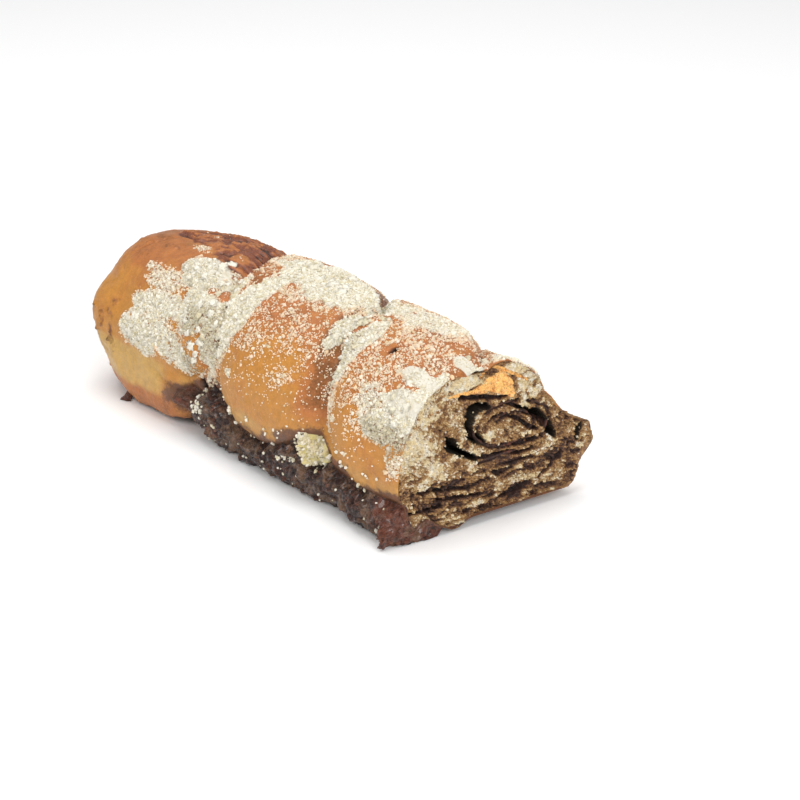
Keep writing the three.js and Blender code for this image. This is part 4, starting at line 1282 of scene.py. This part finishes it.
def drip_arrays():
    """A small drip at the foot of the rounded end: a round column that spreads where it meets the ground."""
    turn = np.linspace(0, 2 * math.pi, 28, endpoint=False)[None, :]
    h = np.linspace(0, 1, 22)[:, None]
    radius = 1.2 + 1.5 * (1 - h) ** 4 + 1.3 * h**3
    radius = radius * (1 + 0.25 * crags(turn * 1.9, h * 5, 141))
    x = DRIP_FOOT[0] + DRIP_LEAN[0] * h + radius * np.cos(turn)
    y = DRIP_FOOT[1] + DRIP_LEAN[1] * h + radius * np.sin(turn)
    z = 0.05 + DRIP_HEIGHT * h + 0 * turn
    points = np.stack([x, y, z], axis=-1)
    rows, columns = x.shape
    everything = np.concatenate([points.reshape(-1, 3), [points[0].mean(axis=0)], [points[-1].mean(axis=0)]])
    masks = {"pale": np.zeros(len(everything)), "red": np.ones(len(everything))}
    return everything, tube_faces(rows, columns, turned=True), masks


class BABKA_OT_sticky(bpy.types.Operator):
    """Builds the rough band of caramelised filling along the foot, and the drip at the rounded end"""

    bl_idname = "babka.sticky"
    bl_label = "Sticky foot"

    def execute(self, context):
        look = filling_material(chosen()[0], "sticky_filling", 0.08)
        points, faces, masks = sticky_arrays()
        new_piece("sticky_foot", points, faces, look, ["sticky_base"], masks)
        points, faces, masks = drip_arrays()
        new_piece("drip", points, faces, look, (), masks)
        return {"FINISHED"}


# ---- The crumb topping ----
def turned(count, rng):
    """Random rotation matrices, from random unit quaternions."""
    q = rng.normal(size=(count, 4))
    w, a, b, c = (q / np.linalg.norm(q, axis=1, keepdims=True)).T
    return np.stack([
        np.stack([1 - 2 * (b * b + c * c), 2 * (a * b - c * w), 2 * (a * c + b * w)], axis=-1),
        np.stack([2 * (a * b + c * w), 1 - 2 * (a * a + c * c), 2 * (b * c - a * w)], axis=-1),
        np.stack([2 * (a * c - b * w), 2 * (b * c + a * w), 1 - 2 * (a * a + b * b)], axis=-1),
    ], axis=1)


def octahedron():
    """Six corners and eight faces."""
    corners = np.array([[1, 0, 0], [-1, 0, 0], [0, 1, 0], [0, -1, 0], [0, 0, 1], [0, 0, -1]], float)
    faces = [[4, 0, 2], [4, 2, 1], [4, 1, 3], [4, 3, 0], [5, 2, 0], [5, 1, 2], [5, 3, 1], [5, 0, 3]]
    return corners, np.array(faces)


def icosphere(level):
    """A ball of triangles: an icosahedron, its faces split in four `level` - 1 times."""
    made = bmesh.new()
    bmesh.ops.create_icosphere(made, subdivisions=level, radius=1.0)
    corners = np.array([v.co[:] for v in made.verts])
    faces = np.array([[v.index for v in f.verts] for f in made.faces])
    made.free()
    return corners, faces


DENTS = 0.3  # how far a crumb's corners are moved in or out, as a share of its radius


def scattered(places, sizes, shape, rng):
    """One mesh of many turned, resized and dented copies of a shape."""
    corners, faces = shape
    count = len(places)
    dents = 1 + DENTS * rng.uniform(-1, 1, (count, len(corners), 1))
    stretch = rng.uniform(0.75, 1.25, (count, 1, 3))
    local = corners[None] * dents * stretch * sizes[:, None, None]
    points = np.einsum("nij,nkj->nki", turned(count, rng), local) + places[:, None, :]
    indices = faces[None] + (np.arange(count) * len(corners))[:, None, None]
    return points.reshape(-1, 3), indices.reshape(-1, 3)


def drawn_places(count, weight, rng, low=(-140.0, -12.0), high=(106.0, 150.0)):
    """Places on the crust drawn by weight: even draws over x and angle, each kept by chance."""
    found = [np.zeros((0, 2))]
    total = 0
    while total < count:
        drawn = rng.uniform(low, high, (60000, 2))
        kept = drawn[rng.uniform(size=len(drawn)) < weight(drawn[:, 0], drawn[:, 1])]
        found.append(kept)
        total += len(kept)
    return np.concatenate(found)[:count].T


def laid(x, angle, out):
    """Points on the dressed crust, `out` beyond it."""
    relief = crust_relief(x, angle, crust_masks(x, angle))
    return surface(x, angle, relief + out)


def grain_weight(x, angle):
    """Fine grains: by the dust's thickness, with clusters, plus stray ones below it."""
    amount = lying_dust(x, angle)
    clusters = smooth(0.45 + 0.9 * crags(x / 1.8, angle / 2.1, 151))
    stray = 0.035 * smooth((angle - 2) / 20) * smooth((x + 70) / 20) * (1 - opened(x, angle))
    fewer = (1 - 0.88 * slabs(x, angle)) * (1 - 0.5 * shaded_topping(x, angle))
    return amount**1.7 * (0.12 + 0.88 * clusters) * fewer + stray * clusters


def nib_weight(x, angle):
    """Middling crumbs: in the thicker dust, and down the creases."""
    amount = lying_dust(x, angle)
    creases = near_crease(x, angle, CREASE_A, 7, right=4) + near_crease(x, angle, CREASE_B, 7, right=5)
    heaped = amount**1.4 * (0.3 + 0.7 * smooth(crags(x / 5, angle / 5.5, 152) + 0.4))
    return (heaped + 0.3 * amount * creases) * (1 - 0.9 * slabs(x, angle)) * (1 - 0.4 * shaded_topping(x, angle))


def topping(name, count, size, shape, weight, sink, seed, look, low_high=(0.55, 1.5)):
    """One kind of loose topping as a single mesh."""
    rng = np.random.default_rng(seed)
    x, angle = drawn_places(count, weight, rng)
    sizes = size / MM * np.exp(rng.normal(0, 0.33, count)).clip(*low_high)
    places = laid(x, angle, sizes * sink)
    points, faces = scattered(places, sizes, shape, rng)
    dull, thick = shaded_topping(x, angle), lying_dust(x, angle)
    # painted shade: grains in the shaded zones lean to the shade colour and are darkened
    tone = rng.uniform(0, 1, count) * (1 - 0.5 * dull) + 0.5 * dull
    painted_shade = 0.3 * dull * rng.uniform(0.0, 1.0, count)
    warm = smooth((0.8 - thick) / 0.4) * rng.uniform(0.1, 1.0, count)
    each = len(shape[0])
    masks = {"tone": np.repeat(tone, each), "painted_shade": np.repeat(painted_shade, each), "warm": np.repeat(warm, each)}
    new_piece(name, points, faces, look, (), masks, flat=True)


def plain_masks(tone):
    """A streusel piece's masks where only the tone changes."""
    return {"tone": tone, "painted_shade": 0 * tone, "warm": 0 * tone}


LUMP_DRAWS = 900
LUMP_COUNT = 92
LUMP_STEPS = (0.7548776662466927, 0.5698402909980532)  # shares of a turn that spread places evenly


def lump_arrays():
    """The lumps of the solid, at its own places: flattened balls turned to the crust and dented."""
    corners, faces = icosphere(3)
    i = np.arange(1, LUMP_DRAWS + 1, dtype=float)
    x = -118 + 220 * np.mod(i * LUMP_STEPS[0], 1)
    angle = 12 + 110 * np.mod(i * LUMP_STEPS[1], 1)
    kept = np.flatnonzero(heap_rise(x, angle) / 3 > 0.12 + 0.5 * hashed(i))[:LUMP_COUNT]
    i, x, angle = i[kept], x[kept], angle[kept]
    size = 1.5 + 1.6 * hashed(i + 0.5) ** 1.6
    u, v, w = (corners[None, :, k] * 2.1 for k in range(3))
    key = i[:, None] * 3.7
    dents = 0.86 + 0.4 * crags(1.5 * u + key, 1.5 * v + 3 * w, 171)
    dents = dents + 0.3 * crags(3.6 * w + key, 3.2 * u - v, 172)
    local = corners[None] * dents[..., None] * size[:, None, None] * [1, 1, 0.62]
    turn = np.radians(90 - angle)[:, None]
    y = local[..., 1] * np.cos(turn) - local[..., 2] * np.sin(turn)
    z = local[..., 1] * np.sin(turn) + local[..., 2] * np.cos(turn)
    points = np.stack([local[..., 0], y, z], axis=-1) + laid(x, angle, size * -0.15)[:, None, :]
    indices = faces[None] + (np.arange(len(i)) * len(corners))[:, None, None]
    tone = np.repeat(0.9 * hashed(i + 0.7), len(corners))
    return points.reshape(-1, 3), indices.reshape(-1, 3), plain_masks(tone)


def clump_rise(x, angle):
    """The loose lump's height over the crust: a rough dome, from its distance to the middle."""
    mid_x, mid_a, half_x, half_a = LOOSE_LUMP
    d = np.hypot((x - mid_x) / half_x, (angle - mid_a) / half_a) + 0.26 * crags(x / 4.5, angle / 5.2, 165, 2)
    ragged = 0.85 + 0.35 * crags(x / 3.4, angle / 4.0, 161, 3)
    ragged = ragged + 0.3 * np.abs(lumps(x / 2.1, angle / 2.5, 163))
    return 7.0 * smooth(1.25 * (1.05 - d)) * ragged


def clump_arrays():
    """The loose lump in the notch: a round patch of the crust raised to a rough dome, closed behind."""
    side = 64
    mid_x, mid_a, half_x, half_a = LOOSE_LUMP
    u, v = np.meshgrid(np.linspace(-1, 1, side), np.linspace(-1, 1, side), indexing="ij")
    off = np.maximum(np.abs(u), np.abs(v)) / np.maximum(np.hypot(u, v), 1e-9)
    x = mid_x + half_x * u * off
    angle = mid_a + half_a * v * off
    outer = surface(x, angle, 0.2 + clump_rise(x, angle))
    inner = surface(x, angle, -1.0)
    points = np.concatenate([outer.reshape(-1, 3), inner.reshape(-1, 3)])
    tone = 1.25 + 0.2 * crags(x / 2, angle / 2, 162)
    return points, shell_faces(side, side), plain_masks(np.tile(tone.ravel(), 2))


def fallen_weight(x, angle):
    """Crumbs fallen on the sticky band and round the loose lump: three clusters and a few stray ones."""
    clusters = ((-40, -8, 5, 6.5, 0.5), (*LOOSE_LUMP[:2], 9.5, 10.5, 1.0), (32, -9, 5, 3.5, 0.35))
    amount = sum(patch(x, angle, where, seed=164) for where in clusters)
    return np.clip(amount + 0.012 * smooth((x + 45) / 8), 0, 1)


def fallen_arrays(count):
    """Pale crumbs that lie on the band and the loose lump."""
    rng = np.random.default_rng(5)
    x, angle = drawn_places(count, fallen_weight, rng, (-48, -34), (100, 8))
    sizes = 0.62 * np.exp(rng.normal(0, 0.35, count)).clip(0.5, 1.8)
    out = np.maximum(sticky_out(x, angle), 0.2 + clump_rise(x, angle)) + 0.25 * sizes
    shape = icosphere(1)
    places = surface(x, angle, out, 9.0)
    places[:, 2] = np.maximum(places[:, 2], sizes)
    points, faces = scattered(places, sizes, shape, rng)
    near = bump(np.hypot((x - LOOSE_LUMP[0]) / 14, (angle - LOOSE_LUMP[1]) / 14))
    tone = np.repeat(rng.uniform(0.2, 0.9, count) + 0.4 * near, len(shape[0]))
    return points, faces, plain_masks(tone)


class BABKA_OT_topping(bpy.types.Operator):
    """Scatters the crumb topping: fine grains, middling crumbs, lumps, and the loose lump in the notch"""

    bl_idname = "babka.topping"
    bl_label = "Crumb topping"

    def execute(self, context):
        c, sizes = chosen()
        look = streusel_material(c)
        for seed, name in enumerate(("grains_a", "grains_b", "grains_c")):
            topping(name, sizes.grains, sizes.grain, octahedron(), grain_weight, 0.3, seed, look)
        topping("crumbs", sizes.nibs, sizes.nib, icosphere(1), nib_weight, 0.2, 3, look)
        points, faces, masks = lump_arrays()
        new_piece("lumps", points, faces, look, (), masks)
        points, faces, masks = clump_arrays()
        new_piece("streusel_lump", points, faces, look, ["streusel_clump"], masks)
        points, faces, masks = fallen_arrays(sizes.fallen)
        new_piece("fallen_crumbs", points, faces, look, (), masks, flat=True)
        return {"FINISHED"}


# ---- Stage ----
CAMERA_PLACE = (941.46, -679.98, 490.11)  # mm, in the loaf's frame
CAMERA_TURN = 53.0317
CAMERA_DIP = 22.0539
FOCAL_PIXELS = 2782.75
SENSOR = 36.0
CAMERA_REACH = 20  # m
FLOOR_SIZE = 8.0  # m
FLOOR_DROP = 0.0003  # m, so that the floor and the loaf's underside don't share a plane
LIGHT_TARGET = (0, 0, 0.03)
LIGHTS = (  # name, place and size in m, power in W
    ("key", (0.35, -1.35, 1.15), 0.9, 8.5),
    ("top", (-0.2, 0.1, 1.5), 1.2, 16),
    ("fill", (1.5, -0.35, 0.75), 1.0, 17),
)
WORLD_STRENGTH = 0.4


def area_light(name, place, size, power):
    """A square soft light that looks at the loaf."""
    light = bpy.data.lights.new(name, "AREA")
    light.shape = "SQUARE"
    light.size = size
    light.energy = power
    lamp = bpy.data.objects.new(name, light)
    lamp.location = place
    lamp.rotation_euler = (Vector(LIGHT_TARGET) - Vector(place)).to_track_quat("-Z", "Y").to_euler()
    bpy.context.scene.collection.objects.link(lamp)


class BABKA_OT_stage(bpy.types.Operator):
    """Sets the pale floor, the soft studio light and the camera"""

    bl_idname = "babka.stage"
    bl_label = "Stage"

    def execute(self, context):
        scene = bpy.context.scene
        bpy.ops.mesh.primitive_plane_add(size=FLOOR_SIZE, location=(0, 0, -FLOOR_DROP))
        floor = bpy.context.object
        floor.name = "floor"
        floor.data.materials.append(floor_material())
        for light in LIGHTS:
            area_light(*light)
        world = bpy.data.worlds.new("studio")
        world.use_nodes = True
        world.node_tree.nodes["Background"].inputs["Color"].default_value = (1, 1, 1, 1)
        world.node_tree.nodes["Background"].inputs["Strength"].default_value = WORLD_STRENGTH
        scene.world = world
        scene.view_settings.view_transform = "Standard"
        data = bpy.data.cameras.new("camera")
        data.sensor_width = SENSOR
        data.lens = FOCAL_PIXELS / PICTURE * SENSOR
        data.clip_end = CAMERA_REACH
        camera = bpy.data.objects.new("camera", data)
        camera.location = (np.array(CAMERA_PLACE) + SHIFT) * MM
        camera.rotation_euler = (math.radians(90 - CAMERA_DIP), 0, math.radians(CAMERA_TURN))
        scene.collection.objects.link(camera)
        scene.camera = camera
        return {"FINISHED"}


OPERATORS = (
    BABKA_OT_stage,
    BABKA_OT_crust,
    BABKA_OT_crumb,
    BABKA_OT_filling,
    BABKA_OT_sticky,
    BABKA_OT_topping,
)


class BABKA_PT_panel(bpy.types.Panel):
    """Lists the loaf's colours, sizes and pieces"""

    bl_idname = "BABKA_PT_panel"
    bl_label = "Cinnamon babka"
    bl_space_type = "VIEW_3D"
    bl_region_type = "UI"
    bl_category = "Babka"

    def draw(self, context):
        for group in (context.scene.babka_colours, context.scene.babka_sizes):
            box = self.layout.box()
            for name in group.__annotations__:
                box.prop(group, name)
        for operator in OPERATORS:
            self.layout.operator(operator.bl_idname)


CLASSES = (BabkaColours, BabkaSizes, *OPERATORS, BABKA_PT_panel)


def register():
    for item in CLASSES:
        bpy.utils.register_class(item)
    bpy.types.Scene.babka_colours = PointerProperty(type=BabkaColours)
    bpy.types.Scene.babka_sizes = PointerProperty(type=BabkaSizes)


def unregister():
    del bpy.types.Scene.babka_sizes
    del bpy.types.Scene.babka_colours
    for item in reversed(CLASSES):
        bpy.utils.unregister_class(item)


def main():
    """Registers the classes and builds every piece."""
    register()
    for operator in OPERATORS:
        group, name = operator.bl_idname.split(".")
        getattr(getattr(bpy.ops, group), name)()


if __name__ == "__main__":
    main()
